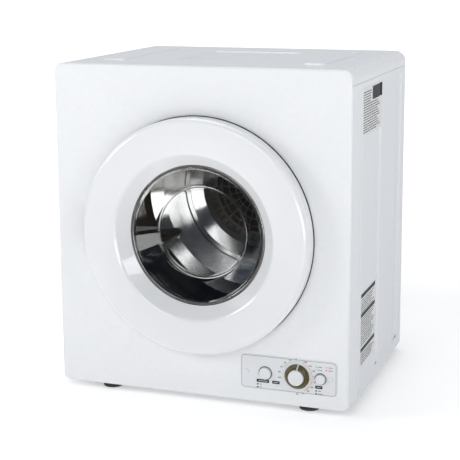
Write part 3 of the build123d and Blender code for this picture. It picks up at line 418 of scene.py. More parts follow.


# ------------------------------------------------------------------ back, base and other zinc-coated sheet
# The back panel, base tray, bulkhead, air duct, heater box and brackets are pressed from
# hot-dip galvanised sheet. It shows a soft crystal spangle, rolling marks and a dull grey sheen,
# with a slight brown dust and painted shade darkening the inner corners.

spangle, spangle_in, spangle_out = new_effect(
    "zinc_spangle", [("Place", "Vector", None), ("Crystal Size", "Float", 0.012)],
    [("Tone", "Float"), ("Edges", "Float")],
)
spangle_scale = calc(spangle, "DIVIDE", 1.0, spangle_in.outputs["Crystal Size"])
spangle_bend = add(spangle, "TexNoise", {"Scale": 60.0, "Detail": 3.0, "Vector": spangle_in.outputs["Place"]})
spangle_shift = add(
    spangle, "VectorMath", {1: (0.006, 0.006, 0.006), 0: spangle_bend.outputs["Color"]}, operation="MULTIPLY"
)
spangle_place = add(
    spangle, "VectorMath", {0: spangle_in.outputs["Place"], 1: spangle_shift.outputs[0]}, operation="ADD"
)
spangle_cells = add(spangle, "TexVoronoi", {"Vector": spangle_place.outputs[0], "Scale": spangle_scale})
spangle_tone = add(spangle, "SeparateXYZ", {0: spangle_cells.outputs["Color"]})
spangle_edge = add(
    spangle, "TexVoronoi", {"Vector": spangle_place.outputs[0], "Scale": spangle_scale},
    feature="DISTANCE_TO_EDGE",
)
spangle_rim = add(spangle, "MapRange", {"From Max": 0.08, "Value": spangle_edge.outputs["Distance"]})
spangle.links.new(spangle_tone.outputs["X"], spangle_out.inputs["Tone"])
spangle.links.new(spangle_rim.outputs["Result"], spangle_out.inputs["Edges"])


def zinc_sheet(name, dark, light, roughness):
    """Galvanised sheet."""
    material, tree, shader, place = start_finish(name, Metallic=0.85)
    crystals = use_effect(tree, spangle, {"Crystal Size": 0.010}, place)
    rub = use_effect(tree, edge_rub, {"Break Size": 0.02}, place)
    skin = use_effect(tree, lacquer_skin, {"Ripple Size": 0.006, "Smear Size": 0.09}, place)
    zinc = mix_tone(tree, crystals.outputs["Tone"], dark, light)
    # Inner corners go brown and dark: dust and painted shade.
    corner_dirt_and_shade = mix_tone(tree, spread(tree, rub.outputs["Dirt And Shade"], 0.0, 0.7), zinc, (0.20, 0.17, 0.13))
    tree.links.new(corner_dirt_and_shade, shader.inputs["Base Color"])
    shine = calc(
        tree, "ADD", spread(tree, crystals.outputs["Tone"], roughness - 0.06, roughness + 0.06),
        spread(tree, skin.outputs["Smear"], 0.0, 0.10),
    )
    tree.links.new(shine, shader.inputs["Roughness"])
    raise_bumps(tree, shader, crystals.outputs["Edges"], 0.00001, 0.5)
    return material


galvanised = zinc_sheet("galvanised_sheet", (0.50, 0.52, 0.54), (0.68, 0.70, 0.72), 0.38)
paint(galvanised, "rear_panel", "base_pan", "rear_duct", "heater_box")
# The bulkhead gets a much darker copy of the galvanised finish: painted shade inside the drum.
shaded_zinc_sheet = zinc_sheet("zinc_sheet_painted_dark", (0.17, 0.175, 0.18), (0.26, 0.265, 0.27), 0.45)
paint(shaded_zinc_sheet, "front_bulkhead")
paint(galvanised, "motor_bracket", "idler_bracket")


# ------------------------------------------------------------------ door moulding
# The door is one big ring moulded in glossy white plastic, crowned on its face and turned in
# towards the window as a smooth lip. A flat ring of the same plastic closes its back, held by
# screws, and a grey rubber seal sits on it.

moulded_grain, grain_in, grain_out = new_effect(
    "moulded_grain", [("Place", "Vector", None), ("Grain Size", "Float", 0.0008)],
    [("Height", "Float"), ("Mottle", "Float")],
)
grain_scale = calc(moulded_grain, "DIVIDE", 1.0, grain_in.outputs["Grain Size"])
grain_noise = add(
    moulded_grain, "TexNoise",
    {"Detail": 3.0, "Roughness": 0.6, "Vector": grain_in.outputs["Place"], "Scale": grain_scale},
)
grain_flow = add(
    moulded_grain, "TexNoise",
    {"Scale": 9.0, "Detail": 4.0, "Roughness": 0.55, "Distortion": 1.2, "Vector": grain_in.outputs["Place"]},
)
moulded_grain.links.new(grain_noise.outputs["Fac"], grain_out.inputs["Height"])
moulded_grain.links.new(grain_flow.outputs["Fac"], grain_out.inputs["Mottle"])


def moulded_plastic(name, tone, shade, roughness, grain_size, grain_depth, coat=0.0):
    """Injection-moulded plastic: slight flow mottling, a grain and duller edges."""
    material, tree, shader, place = start_finish(name, Coat_Weight=coat, Coat_Roughness=0.03)
    grain = use_effect(tree, moulded_grain, {"Grain Size": grain_size}, place)
    rub = use_effect(tree, edge_rub, {"Break Size": 0.008}, place)
    flow = add(tree, "MapRange", {"From Min": 0.3, "From Max": 0.7, "Value": grain.outputs["Mottle"]})
    base = mix_tone(tree, flow.outputs["Result"], tone, shade)
    # Inner corners are darkened: dirt and painted shade.
    dirt_and_shade_tone = tuple(0.45 * channel for channel in shade)
    corner_dirt_and_shade = mix_tone(tree, spread(tree, rub.outputs["Dirt And Shade"], 0.0, 0.6), base, dirt_and_shade_tone)
    tree.links.new(corner_dirt_and_shade, shader.inputs["Base Color"])
    shine = calc(
        tree, "ADD", spread(tree, flow.outputs["Result"], roughness - 0.02, roughness + 0.05),
        spread(tree, rub.outputs["Edge Wear And Highlight"], 0.0, 0.12),
    )
    tree.links.new(shine, shader.inputs["Roughness"])
    raise_bumps(tree, shader, grain.outputs["Height"], grain_depth, 0.5)
    return material


gloss_white = moulded_plastic(
    "gloss_white_moulding", (0.870, 0.878, 0.890), (0.850, 0.860, 0.875), 0.18, 0.0035, 0.000004, 1.0
)
paint(gloss_white, "door_ring", "door_inner_ring")

seal_rubber = moulded_plastic("seal_rubber", (0.32, 0.33, 0.34), (0.25, 0.26, 0.27), 0.55, 0.0012, 0.00004)
paint(seal_rubber, "door_gasket")


# ------------------------------------------------------------------ bowl window and its bright ring
# The window is a thick clear moulded bowl with a flat bottom, clamped behind the door's lip.
# A thin chromed ring covers the joint between the two.


def turned_mesh(name, outline, x, z, steps=192):
    """Closed mesh turned about a line along Y through (x, z). The outline holds (radius, y) pairs."""
    points = []
    rings = []
    for radius, y in outline:
        if radius < 1e-6:
            rings.append([len(points)])
            points.append((x, y, z))
            continue
        rings.append(list(range(len(points), len(points) + steps)))
        for step in range(steps):
            angle = 2 * math.pi * step / steps
            points.append((x + radius * math.cos(angle), y, z + radius * math.sin(angle)))
    faces = []
    for index, ring in enumerate(rings):
        following = rings[(index + 1) % len(rings)]
        if len(ring) == 1 and len(following) == 1:
            continue
        for step in range(steps):
            after = (step + 1) % steps
            if len(ring) == 1:
                faces.append((ring[0], following[after], following[step]))
            elif len(following) == 1:
                faces.append((ring[step], ring[after], following[0]))
            else:
                faces.append((ring[step], ring[after], following[after], following[step]))
    mesh = bpy.data.meshes.new(name)
    mesh.from_pydata(points, [], faces)
    return mesh


def round_off(corners, closed=True):
    """Outline with arcs at its corners. Each corner is (radius, y, rounding), all in metres."""
    outline = []
    count = len(corners)
    for index, (u, v, rounding) in enumerate(corners):
        here = Vector((u, v))
        ends = (index == 0 or index == count - 1) and not closed
        if rounding <= 0 or ends:
            outline.append((u, v))
            continue
        before = Vector(corners[index - 1][:2])
        after = Vector(corners[(index + 1) % count][:2])
        way_in = (before - here).normalized()
        way_out = (after - here).normalized()
        reach = min(rounding, 0.48 * (before - here).length, 0.48 * (after - here).length)
        start = here + way_in * reach
        end = here + way_out * reach
        for step in range(7):
            t = step / 6
            spot = start * (1 - t) ** 2 + here * 2 * t * (1 - t) + end * t * t
            outline.append((spot.x, spot.y))
    return outline


def turned_piece(name, corners, x, z, steps, body, slot_name, material, closed=True):
    """Piece turned about Y from an outline of rounded corners."""
    mesh = turned_mesh(name, round_off(corners, closed), x, z, steps)
    return set_piece(mesh, body, slot_name, material)


bowl_low, bowl_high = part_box("window_bowl")
door_z = (bowl_low.z + bowl_high.z) / 2
flange_radius = (bowl_high.x - bowl_low.x) / 2
bowl_front = bowl_low.y
bowl_back = bowl_high.y
bowl_outline = round_off(
    [
        (flange_radius, bowl_front, 0.0006),
        (0.1305, bowl_front, 0.003),
        (0.0926, bowl_back - 0.0052, 0.001),
        (0.0908, bowl_back - 0.0056, 0.0008),
        (0.0892, bowl_back - 0.004, 0.0008),
        (0.0, bowl_back - 0.004, 0.0),
        (0.0, bowl_back, 0.0),
        (0.0935, bowl_back, 0.008),
        (0.1345, bowl_front + 0.0028, 0.003),
        (flange_radius, bowl_front + 0.0028, 0.0006),
    ]
)
clear_glass, tree, shader, place = start_finish(
    "clear_window", Transmission_Weight=1.0, IOR=1.49, Metallic=0.0, Coat_Weight=0.0
)
glass_skin = use_effect(tree, lacquer_skin, {"Ripple Size": 0.05, "Smear Size": 0.06}, place)
tree.links.new(
    mix_tone(tree, glass_skin.outputs["Smear"], (0.90, 0.915, 0.925), (0.86, 0.875, 0.885)),
    shader.inputs["Base Color"],
)
tree.links.new(spread(tree, glass_skin.outputs["Smear"], 0.0, 0.006), shader.inputs["Roughness"])
raise_bumps(tree, shader, glass_skin.outputs["Ripple"], 0.00004, 0.3)
glass_rays = add(tree, "LightPath")
glass_open = add(tree, "BsdfTransparent", {"Color": (0.90, 0.92, 0.93, 1)})
glass_pass = add(
    tree, "MixShader",
    {0: glass_rays.outputs["Is Shadow Ray"], 1: shader.outputs["BSDF"], 2: glass_open.outputs["BSDF"]},
)
tree.links.new(glass_pass.outputs[0], tree.nodes["Material Output"].inputs["Surface"])
window_bowl = set_piece(
    turned_mesh("bowl_window", bowl_outline, 0.0, door_z, 256), "door", "window_clear", clear_glass
)
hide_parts("window_bowl")

bright_trim, tree, shader, place = start_finish("bright_trim_plate", Metallic=1.0)
trim_skin = use_effect(tree, lacquer_skin, {"Ripple Size": 0.01, "Smear Size": 0.03}, place)
tree.links.new(
    mix_tone(tree, trim_skin.outputs["Smear"], (0.78, 0.79, 0.80), (0.66, 0.67, 0.69)),
    shader.inputs["Base Color"],
)
tree.links.new(spread(tree, trim_skin.outputs["Smear"], 0.20, 0.28), shader.inputs["Roughness"])
trim_low, trim_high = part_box("window_trim_ring")
trim_outer = (trim_high.x - trim_low.x) / 2
trim_line = [
    (trim_outer, trim_low.y, 0.0008),
    (trim_outer - 0.0039, trim_low.y, 0.0012),
    (trim_outer - 0.0039, trim_high.y, 0.0004),
    (trim_outer, trim_high.y, 0.0004),
]
trim_ring = turned_piece(
    "window_bright_ring", trim_line, 0.0, door_z, 256, "door", "bright_trim", bright_trim
)
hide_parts("window_trim_ring")


# ------------------------------------------------------------------ painted shade strip round the door's rim
# A thin black strip on the front under the door's rim, standing in for the shade in the gap
# between the door and the front: a painted shadow line. It stops short of the hinge on both sides.

shade_strip_black = moulded_plastic("rim_shade_strip_black", (0.022, 0.022, 0.024), (0.015, 0.015, 0.017), 0.85, 0.0009, 0.00010)
ring_low, ring_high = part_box("door_ring")
rim_radius = (ring_high.z - ring_low.z) / 2
front_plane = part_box("front_panel")[0].y
shade_strip_mesh = bmesh.new()
shade_strip_sections = []
SHADE_STRIP_STEPS = 160
SHADE_STRIP_SECTION = ((-0.0045, 0.0), (0.0010, 0.0), (0.0008, 0.0026), (-0.0002, 0.0032), (-0.0045, 0.0030))
for step in range(SHADE_STRIP_STEPS + 1):
    angle = math.radians(-140 + 280 * step / SHADE_STRIP_STEPS)
    across = (math.cos(angle), math.sin(angle))
    section = []
    for radius, lift in SHADE_STRIP_SECTION:
        reach = rim_radius + radius
        section.append(
            shade_strip_mesh.verts.new((reach * across[0], front_plane - lift, door_z + reach * across[1]))
        )
    shade_strip_sections.append(section)
close_strip(shade_strip_mesh, shade_strip_sections)
drawn_piece(shade_strip_mesh, "door_rim_shade_strip", "cabinet", "black_plastic", shade_strip_black)


# ------------------------------------------------------------------ stainless drum
# The drum is rolled and spun from polished stainless sheet. Its wall has two beads and a turned
# mouth; its back is a shallow cone with a rolled groove, spun on a lathe, so the fine marks run
# round the axis. Three moulded lifters are screwed along the wall.

lathe_marks, lathe_in, lathe_out = new_effect(
    "lathe_marks", [("Place", "Vector", None), ("Axis Height", "Float", 0.369), ("Pitch", "Float", 0.0006)],
    [("Rings", "Float"), ("Sweep", "Float")],
)
lathe_split = add(lathe_marks, "SeparateXYZ", {0: lathe_in.outputs["Place"]})
lathe_rise = calc(lathe_marks, "SUBTRACT", lathe_split.outputs["Z"], lathe_in.outputs["Axis Height"])
lathe_flat = add(lathe_marks, "CombineXYZ", {"X": lathe_split.outputs["X"], "Y": lathe_rise})
lathe_radius = add(lathe_marks, "VectorMath", {0: lathe_flat.outputs[0]}, operation="LENGTH")
lathe_angle = calc(lathe_marks, "ARCTAN2", lathe_split.outputs["X"], lathe_rise)
lathe_turns = calc(lathe_marks, "DIVIDE", lathe_radius.outputs["Value"], lathe_in.outputs["Pitch"])
lathe_along = calc(lathe_marks, "DIVIDE", lathe_split.outputs["Y"], lathe_in.outputs["Pitch"])
lathe_place = add(lathe_marks, "CombineXYZ", {"X": lathe_turns, "Y": lathe_angle, "Z": lathe_along})
lathe_noise = add(lathe_marks, "TexNoise", {"Scale": 1.0, "Detail": 3.0, "Vector": lathe_place.outputs[0]})
lathe_wide = add(
    lathe_marks, "VectorMath", {1: (0.03, 1.6, 0.03), 0: lathe_place.outputs[0]}, operation="MULTIPLY"
)
lathe_sweep = add(lathe_marks, "TexNoise", {"Scale": 1.0, "Detail": 3.0, "Vector": lathe_wide.outputs[0]})
lathe_marks.links.new(lathe_noise.outputs["Fac"], lathe_out.inputs["Rings"])
lathe_marks.links.new(lathe_sweep.outputs["Fac"], lathe_out.inputs["Sweep"])

back_low, back_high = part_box("drum_back")
drum_z = (back_low.z + back_high.z) / 2


def spun_steel(name, tone, shade, roughness, stretch):
    """Polished stainless whose fine marks run round the drum's axis."""
    material, tree, shader, place = start_finish(
        name, Metallic=1.0, Anisotropic=stretch, Anisotropic_Rotation=0.25
    )
    marks = use_effect(tree, lathe_marks, {"Axis Height": drum_z, "Pitch": 0.0005}, place)
    rub = use_effect(tree, edge_rub, {"Break Size": 0.02}, place)
    skin = use_effect(tree, lacquer_skin, {"Ripple Size": 0.03, "Smear Size": 0.07}, place)
    steel = mix_tone(tree, marks.outputs["Sweep"], tone, shade)
    # Inner corners are darkened: dirt and painted shade.
    corner_dirt_and_shade = mix_tone(tree, spread(tree, rub.outputs["Dirt And Shade"], 0.0, 0.8), steel, (0.10, 0.10, 0.10))
    tree.links.new(corner_dirt_and_shade, shader.inputs["Base Color"])
    shine = calc(
        tree, "ADD", spread(tree, marks.outputs["Rings"], roughness - 0.02, roughness + 0.03),
        spread(tree, skin.outputs["Smear"], 0.0, 0.05),
    )
    tree.links.new(shine, shader.inputs["Roughness"])
    round_axis = add(tree, "Tangent", direction_type="RADIAL", axis="Y")
    tree.links.new(round_axis.outputs[0], shader.inputs["Tangent"])
    raise_bumps(tree, shader, marks.outputs["Rings"], 0.000004, 0.35)
    return material


# The wall's steel has a much darker tone than the back's: painted shade inside the closed drum.
drum_wall_shaded_polish = spun_steel("drum_wall_polish_painted_dark", (0.36, 0.355, 0.35), (0.28, 0.277, 0.275), 0.05, 0.0)
cone_polish = spun_steel("drum_cone_polish", (0.62, 0.61, 0.59), (0.46, 0.455, 0.445), 0.09, 0.8)
paint(drum_wall_shaded_polish, "drum_shell")
paint(cone_polish, "drum_back")

lifter_plastic = moulded_plastic(
    "lifter_plastic", (0.060, 0.063, 0.068), (0.045, 0.047, 0.052), 0.16, 0.0010, 0.00001, 0.6
)
paint(lifter_plastic, "drum_baffle_1", "drum_baffle_2", "drum_baffle_3")


# ------------------------------------------------------------------ hub plate, lint screen and seal
# The middle of the drum's back is a cast plate with a ring of air slots. The lint filter clips
# into its hole: a grey moulded grille over a dark woven cloth. A felt strip round the mouth
# keeps the drum's air in.

hub_casting = moulded_plastic("hub_casting", (0.20, 0.21, 0.22), (0.17, 0.18, 0.19), 0.42, 0.0015, 0.00006)
paint(hub_casting, "drum_hub")
grille_plastic = moulded_plastic(
    "grille_plastic", (0.40, 0.40, 0.41), (0.34, 0.34, 0.35), 0.40, 0.0009, 0.00003
)
paint(grille_plastic, "filter_grille")

lint_cloth, tree, shader, place = start_finish("lint_cloth", Roughness=0.9, Specular_IOR_Level=0.2)
cloth_warp = add(tree, "TexWave", {"Scale": 420.0, "Distortion": 0.6, "Vector": place}, bands_direction="X")
cloth_weft = add(tree, "TexWave", {"Scale": 420.0, "Distortion": 0.6, "Vector": place}, bands_direction="Z")
cloth_weave = calc(tree, "MAXIMUM", cloth_warp.outputs["Fac"], cloth_weft.outputs["Fac"])
cloth_stain = use_effect(tree, lacquer_skin, {"Ripple Size": 0.004, "Smear Size": 0.05}, place)
cloth_dark = mix_tone(tree, cloth_weave, (0.018, 0.012, 0.010), (0.085, 0.062, 0.050))
tree.links.new(
    mix_tone(tree, spread(tree, cloth_stain.outputs["Smear"], 0.0, 0.35), cloth_dark, (0.12, 0.11, 0.10)),
    shader.inputs["Base Color"],
)
raise_bumps(tree, shader, cloth_weave, 0.0003, 0.8)
paint(lint_cloth, "filter_mesh")

felt, tree, shader, place = start_finish(
    "seal_felt_strip", Roughness=0.95, Sheen_Weight=0.4, Sheen_Roughness=0.5
)
felt_fibre = add(
    tree, "TexNoise", {"Scale": 900.0, "Detail": 8.0, "Roughness": 0.8, "Distortion": 2.0, "Vector": place}
)
tree.links.new(
    mix_tone(tree, felt_fibre.outputs["Fac"], (0.32, 0.29, 0.24), (0.52, 0.49, 0.43)),
    shader.inputs["Base Color"],
)
raise_bumps(tree, shader, felt_fibre.outputs["Fac"], 0.0006, 0.8)
paint(felt, "front_felt_seal")


# ------------------------------------------------------------------ rubber feet
# Four short round feet moulded in dark rubber. Each has a flared base, two grip grooves and a
# screw sunk in its middle.

foot_rubber = moulded_plastic(
    "foot_rubber", (0.060, 0.060, 0.063), (0.042, 0.042, 0.045), 0.62, 0.0010, 0.00008
)


def stand_up(mesh, x, y):
    """Lay a mesh that was turned about Y through (0, 0) onto the vertical line through (x, y)."""
    mesh.transform(Matrix.Translation((x, y, 0)) @ Matrix.Rotation(math.radians(90), 4, "X"))
    return mesh


for corner in ("front_left", "front_right", "rear_left", "rear_right"):
    foot_low, foot_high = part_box("foot_" + corner)
    foot_radius = (foot_high.x - foot_low.x) / 2
    foot_height = foot_high.z - foot_low.z
    foot_line = [
        (0.0028, 0.0085, 0.0),
        (0.0050, 0.0085, 0.0),
        (0.0050, 0.0, 0.0006),
        (foot_radius - 0.0010, 0.0, 0.0010),
        (foot_radius, 0.0020, 0.0008),
        (foot_radius - 0.0006, 0.0048, 0.0004),
        (foot_radius - 0.0018, 0.0054, 0.0004),
        (foot_radius - 0.0018, 0.0062, 0.0004),
        (foot_radius - 0.0008, 0.0068, 0.0004),
        (foot_radius - 0.0014, 0.0108, 0.0004),
        (foot_radius - 0.0026, 0.0114, 0.0004),
        (foot_radius - 0.0026, 0.0122, 0.0004),
        (foot_radius - 0.0016, 0.0128, 0.0004),
        (foot_radius - 0.0026, foot_height, 0.0006),
        (0.0028, foot_height, 0.0),
    ]
    foot_mesh = turned_mesh("rubber_foot_" + corner, round_off(foot_line), 0.0, 0.0, 72)
    stand_up(foot_mesh, (foot_low.x + foot_high.x) / 2, (foot_low.y + foot_high.y) / 2)
    foot_piece = set_piece(foot_mesh, "cabinet", "dark_rubber", foot_rubber)
    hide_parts("foot_" + corner)


# ------------------------------------------------------------------ control plate and its print
# A thin satin plate carries the start button on the left, the timer dial in the middle and the
# heat button on the right. Its marks are screen-printed: dark tabs and dots under the buttons,
# coloured arcs and numbers round the dial, and a small key of the four colours.

plate_low, plate_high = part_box("control_plate")
plate_face = plate_low.y
plate_satin = moulded_plastic(
    "plate_satin", (0.790, 0.800, 0.820), (0.770, 0.782, 0.804), 0.30, 0.0006, 0.00001, 0.25
)
paint(plate_satin, "control_plate")
knob_low, knob_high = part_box("timer_knob")
knob_x = (knob_low.x + knob_high.x) / 2
control_z = (knob_low.z + knob_high.z) / 2
start_low, start_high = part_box("start_button")
heat_low, heat_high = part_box("heat_button")
INK = 0.00012


def ink(name, tone, faded):
    """Screen-printing ink: nearly flat, with pinholes and slightly uneven cover."""
    material, tree, shader, place = start_finish(name, Specular_IOR_Level=0.2)
    skin = use_effect(tree, lacquer_skin, {"Ripple Size": 0.0006, "Smear Size": 0.004}, place)
    tree.links.new(mix_tone(tree, skin.outputs["Smear"], tone, faded), shader.inputs["Base Color"])
    tree.links.new(spread(tree, skin.outputs["Ripple"], 0.38, 0.55), shader.inputs["Roughness"])
    raise_bumps(tree, shader, skin.outputs["Ripple"], 0.00001, 0.5)
    return material


dark_ink = ink("dark_print_ink", (0.020, 0.022, 0.030), (0.035, 0.038, 0.048))
grey_ink = ink("grey_print_ink", (0.16, 0.165, 0.18), (0.22, 0.225, 0.24))
green_ink = ink("green_print_ink", (0.13, 0.56, 0.06), (0.20, 0.62, 0.13))
blue_ink = ink("blue_print_ink", (0.40, 0.66, 0.86), (0.48, 0.72, 0.90))
orange_ink = ink("orange_print_ink", (0.86, 0.31, 0.05), (0.90, 0.40, 0.13))
red_ink = ink("red_print_ink", (0.76, 0.03, 0.03), (0.82, 0.10, 0.08))


def on_plate(u, v, lift):
    """Point on the control plate's face: u to the right, v up, lift out of the face."""
    return (u, plate_face - lift, v)


def round_patch(u, v, radius):
    """Outline of a printed dot."""
    angles = [2 * math.pi * step / 24 for step in range(24)]
    return [(u + radius * math.cos(angle), v + radius * math.sin(angle)) for angle in angles]


def tab_patch(u0, u1, v0, v1, corner):
    """Outline of a printed tab with rounded corners."""
    outline = []
    for u, v, first in ((u1, v1, 0), (u0, v1, 90), (u0, v0, 180), (u1, v0, 270)):
        centre_u = u - math.copysign(corner, u - (u0 + u1) / 2)
        centre_v = v - math.copysign(corner, v - (v0 + v1) / 2)
        for step in range(5):
            angle = math.radians(first + 22.5 * step)
            outline.append((centre_u + corner * math.cos(angle), centre_v + corner * math.sin(angle)))
    return outline


def prism(mesh, outline, lay, base, top):
    """Add a thin closed slab over a flat outline; lay maps (u, v, lift) to a point."""
    low = [mesh.verts.new(lay(u, v, base)) for u, v in outline]
    high = [mesh.verts.new(lay(u, v, top)) for u, v in outline]
    mesh.faces.new(high)
    mesh.faces.new(list(reversed(low)))
    for index in range(len(outline)):
        after = (index + 1) % len(outline)
        mesh.faces.new((low[index], low[after], high[after], high[index]))


def arc_strip(mesh, u, v, inner, outer, first, last, lay, base, top):
    """Add a thin closed slab along an arc between two angles in degrees."""
    steps = max(2, int(abs(last - first) / 3))
    sections = []
    for step in range(steps + 1):
        angle = math.radians(first + (last - first) * step / steps)
        across = (math.cos(angle), math.sin(angle))
        section = []
        for radius, lift in ((inner, base), (outer, base), (outer, top), (inner, top)):
            section.append(mesh.verts.new(lay(u + radius * across[0], v + radius * across[1], lift)))
        sections.append(section)
    close_strip(mesh, sections)


def print_piece(name, material, body, slot_name, patches=(), arcs=(), lay=on_plate, base=0.0, top=INK):
    """One printed colour as a single piece."""
    drawn = bmesh.new()
    for outline in patches:
        prism(drawn, outline, lay, base, top)
    for u, v, inner, outer, first, last in arcs:
        arc_strip(drawn, u, v, inner, outer, first, last, lay, base, top)
    return drawn_piece(drawn, name, body, slot_name, material)


def plate_tab(x, z, half_width, half_height, corner=0.0009):
    """Printed tab centred at (x, z) on the plate."""
    return tab_patch(x - half_width, x + half_width, z - half_height, z + half_height, corner)


tabs_z = control_z - 0.0165
dark_patches = [
    plate_tab(0.1310, tabs_z + 0.0003, 0.0128, 0.0031), plate_tab(0.1575, tabs_z, 0.0076, 0.0030),
    plate_tab(0.2437, tabs_z - 0.0002, 0.0072, 0.0031),
]
for dot_x, dot_z in ((0.1204, 0.0556), (0.1204, 0.0498), (0.2386, 0.0547), (0.2386, 0.0490)):
    dark_patches.append(plate_tab(dot_x, dot_z, 0.0016, 0.0013, 0.0004))
print_piece("print_dark_tabs", dark_ink, "cabinet", "control_plate_grey", dark_patches)

GREEN, BLUE, ORANGE, RED = range(4)
KEY_ROW_TOP = 0.1028
KEY_ROW_LOW = 0.0972
key_places = {GREEN: (0.2381, KEY_ROW_TOP), BLUE: (0.2381, KEY_ROW_LOW)}
key_places.update({ORANGE: (0.2590, KEY_ROW_TOP + 0.0006), RED: (0.2590, KEY_ROW_LOW + 0.0004)})
SCALE_RADIUS = 0.0305
scale_spans = {GREEN: (146, 110), BLUE: (104, 72), ORANGE: (66, -34), RED: (-40, -58)}
scale_inks = {GREEN: green_ink, BLUE: blue_ink, ORANGE: orange_ink, RED: red_ink}
scale_names = {GREEN: "green", BLUE: "blue", ORANGE: "orange", RED: "red"}
for tone, (first, last) in scale_spans.items():
    span = (knob_x, control_z, SCALE_RADIUS - 0.0003, SCALE_RADIUS + 0.0003, first, last)
    beads = []
    count = 1 + round(abs(first - last) / 18)
    for step in range(count + 1):
        angle = math.radians(first + (last - first) * step / count)
        beads.append(
            round_patch(
                knob_x + (SCALE_RADIUS + 0.0001) * math.cos(angle),
                control_z + (SCALE_RADIUS + 0.0001) * math.sin(angle), 0.0009,
            ),
        )
    beads.append(round_patch(*key_places[tone], 0.0013))
    print_piece(
        "print_scale_" + scale_names[tone], scale_inks[tone], "cabinet", "control_plate_grey", beads, [span]
    )

grey_patches = []
for tone, (key_x, key_z) in key_places.items():
    grey_patches.append(plate_tab(key_x + 0.0075, key_z, 0.0042, 0.0006, 0.0003))
word_places = ((0.1204, 0.0556, 3), (0.1204, 0.0498, 3), (0.2386, 0.0547, 4), (0.2386, 0.0490, 6))
for dot_x, dot_z, length in word_places:
    grey_patches.append(plate_tab(dot_x + 0.0035 + 0.0008 * length, dot_z, 0.0008 * length, 0.0006, 0.0003))
print_piece("print_grey_lines", grey_ink, "cabinet", "control_plate_grey", grey_patches)

# A thin grey line just inside the plate's border stands in for the shade along its edge: a painted shadow
# line.
plate_shade_line_ink = ink("plate_shade_line_paint", (0.30, 0.31, 0.33), (0.38, 0.39, 0.41))
shade_line_drawn = bmesh.new()
BORDER, BORDER_WIDTH, BORDER_CORNER = 0.0012, 0.0009, 0.0066
border_runs = []
for inset in (BORDER, BORDER + BORDER_WIDTH):
    border_runs.append(
        tab_patch(
            plate_low.x + inset, plate_high.x - inset, plate_low.z + inset, plate_high.z - inset,
            BORDER_CORNER - inset + BORDER,
        ),
    )
border_rings = []
for run in border_runs:
    for lift in (0.0, INK):
        border_rings.append([shade_line_drawn.verts.new(on_plate(u, v, lift)) for u, v in run])
for here, there in ((0, 1), (1, 3), (3, 2), (2, 0)):
    for corner in range(len(border_runs[0])):
        after = (corner + 1) % len(border_runs[0])
        shade_line_drawn.faces.new(
            (
                border_rings[here][corner], border_rings[here][after], border_rings[there][after],
                border_rings[there][corner],
            ),
        )
drawn_piece(shade_line_drawn, "plate_border_shade_line", "cabinet", "control_plate_grey", plate_shade_line_ink)

pale_ink = ink("pale_print_ink", (0.55, 0.56, 0.58), (0.48, 0.49, 0.51))
print_piece(
    "print_tab_lines", pale_ink, "cabinet", "control_plate_grey",
    [
        plate_tab(0.1310, tabs_z + 0.0003, 0.0095, 0.0007, 0.0003),
        plate_tab(0.1575, tabs_z, 0.0048, 0.0007, 0.0003),
        plate_tab(0.2437, tabs_z - 0.0002, 0.0042, 0.0007, 0.0003),
    ],
    base=INK, top=2 * INK,
)


def numerals(name, labels, size, material):
    """Numbers printed on the plate. labels holds (words, x, z)."""
    drawn = bmesh.new()
    for words, x, z in labels:
        letters = bpy.data.curves.new(name, "FONT")
        letters.body = words
        letters.size = size
        letters.align_x = "CENTER"
        letters.align_y = "CENTER"
        letters.extrude = INK / 2
        letters.resolution_u = 3
        holder = bpy.data.objects.new(name, letters)
        cut = bpy.data.meshes.new_from_object(holder)
        cut.transform(
            Matrix.Translation((x, plate_face - INK / 2, z)) @ Matrix.Rotation(math.radians(90), 4, "X")
        )
        drawn.from_mesh(cut)
        bpy.data.objects.remove(holder)
        bpy.data.meshes.remove(cut)
        bpy.data.curves.remove(letters)
    bmesh.ops.remove_doubles(drawn, verts=drawn.verts[:], dist=0.000004)
    return drawn_piece(drawn, name, "cabinet", "control_plate_grey", material)


NUMBER_RADIUS = 0.0358
dial_numbers = [("0", 93)]
for index, words in enumerate(("180", "160", "140", "120", "100", "80", "60", "40", "20")):
    dial_numbers.append((words, 63 - 19 * index))
for index, words in enumerate(("20", "40", "60", "80", "100")):
    dial_numbers.append((words, 113 + 19 * index))
numerals(
    "print_dial_numbers",
    [
        (
            words,
            knob_x + NUMBER_RADIUS * math.cos(math.radians(angle)),
            control_z + (NUMBER_RADIUS - 0.0012) * math.sin(math.radians(angle)),
        )
        for words, angle in dial_numbers
    ],
    0.0048,
    dark_ink,
)


# ------------------------------------------------------------------ knob, buttons and screw caps
# The timer knob has a dark bronze skirt with a white pointer line and a white crown to grip. The
# two push buttons are white discs with a soft edge and a shallow dish, and two white caps hide
# the plate's screws.

bronze_skirt = moulded_plastic(
    "bronze_knob_skirt", (0.120, 0.098, 0.038), (0.098, 0.080, 0.030), 0.24, 0.0006, 0.00001, 0.4
)
button_white = moulded_plastic(
    "button_white", (0.80, 0.81, 0.83), (0.78, 0.79, 0.81), 0.28, 0.0006, 0.00001, 0.2
)
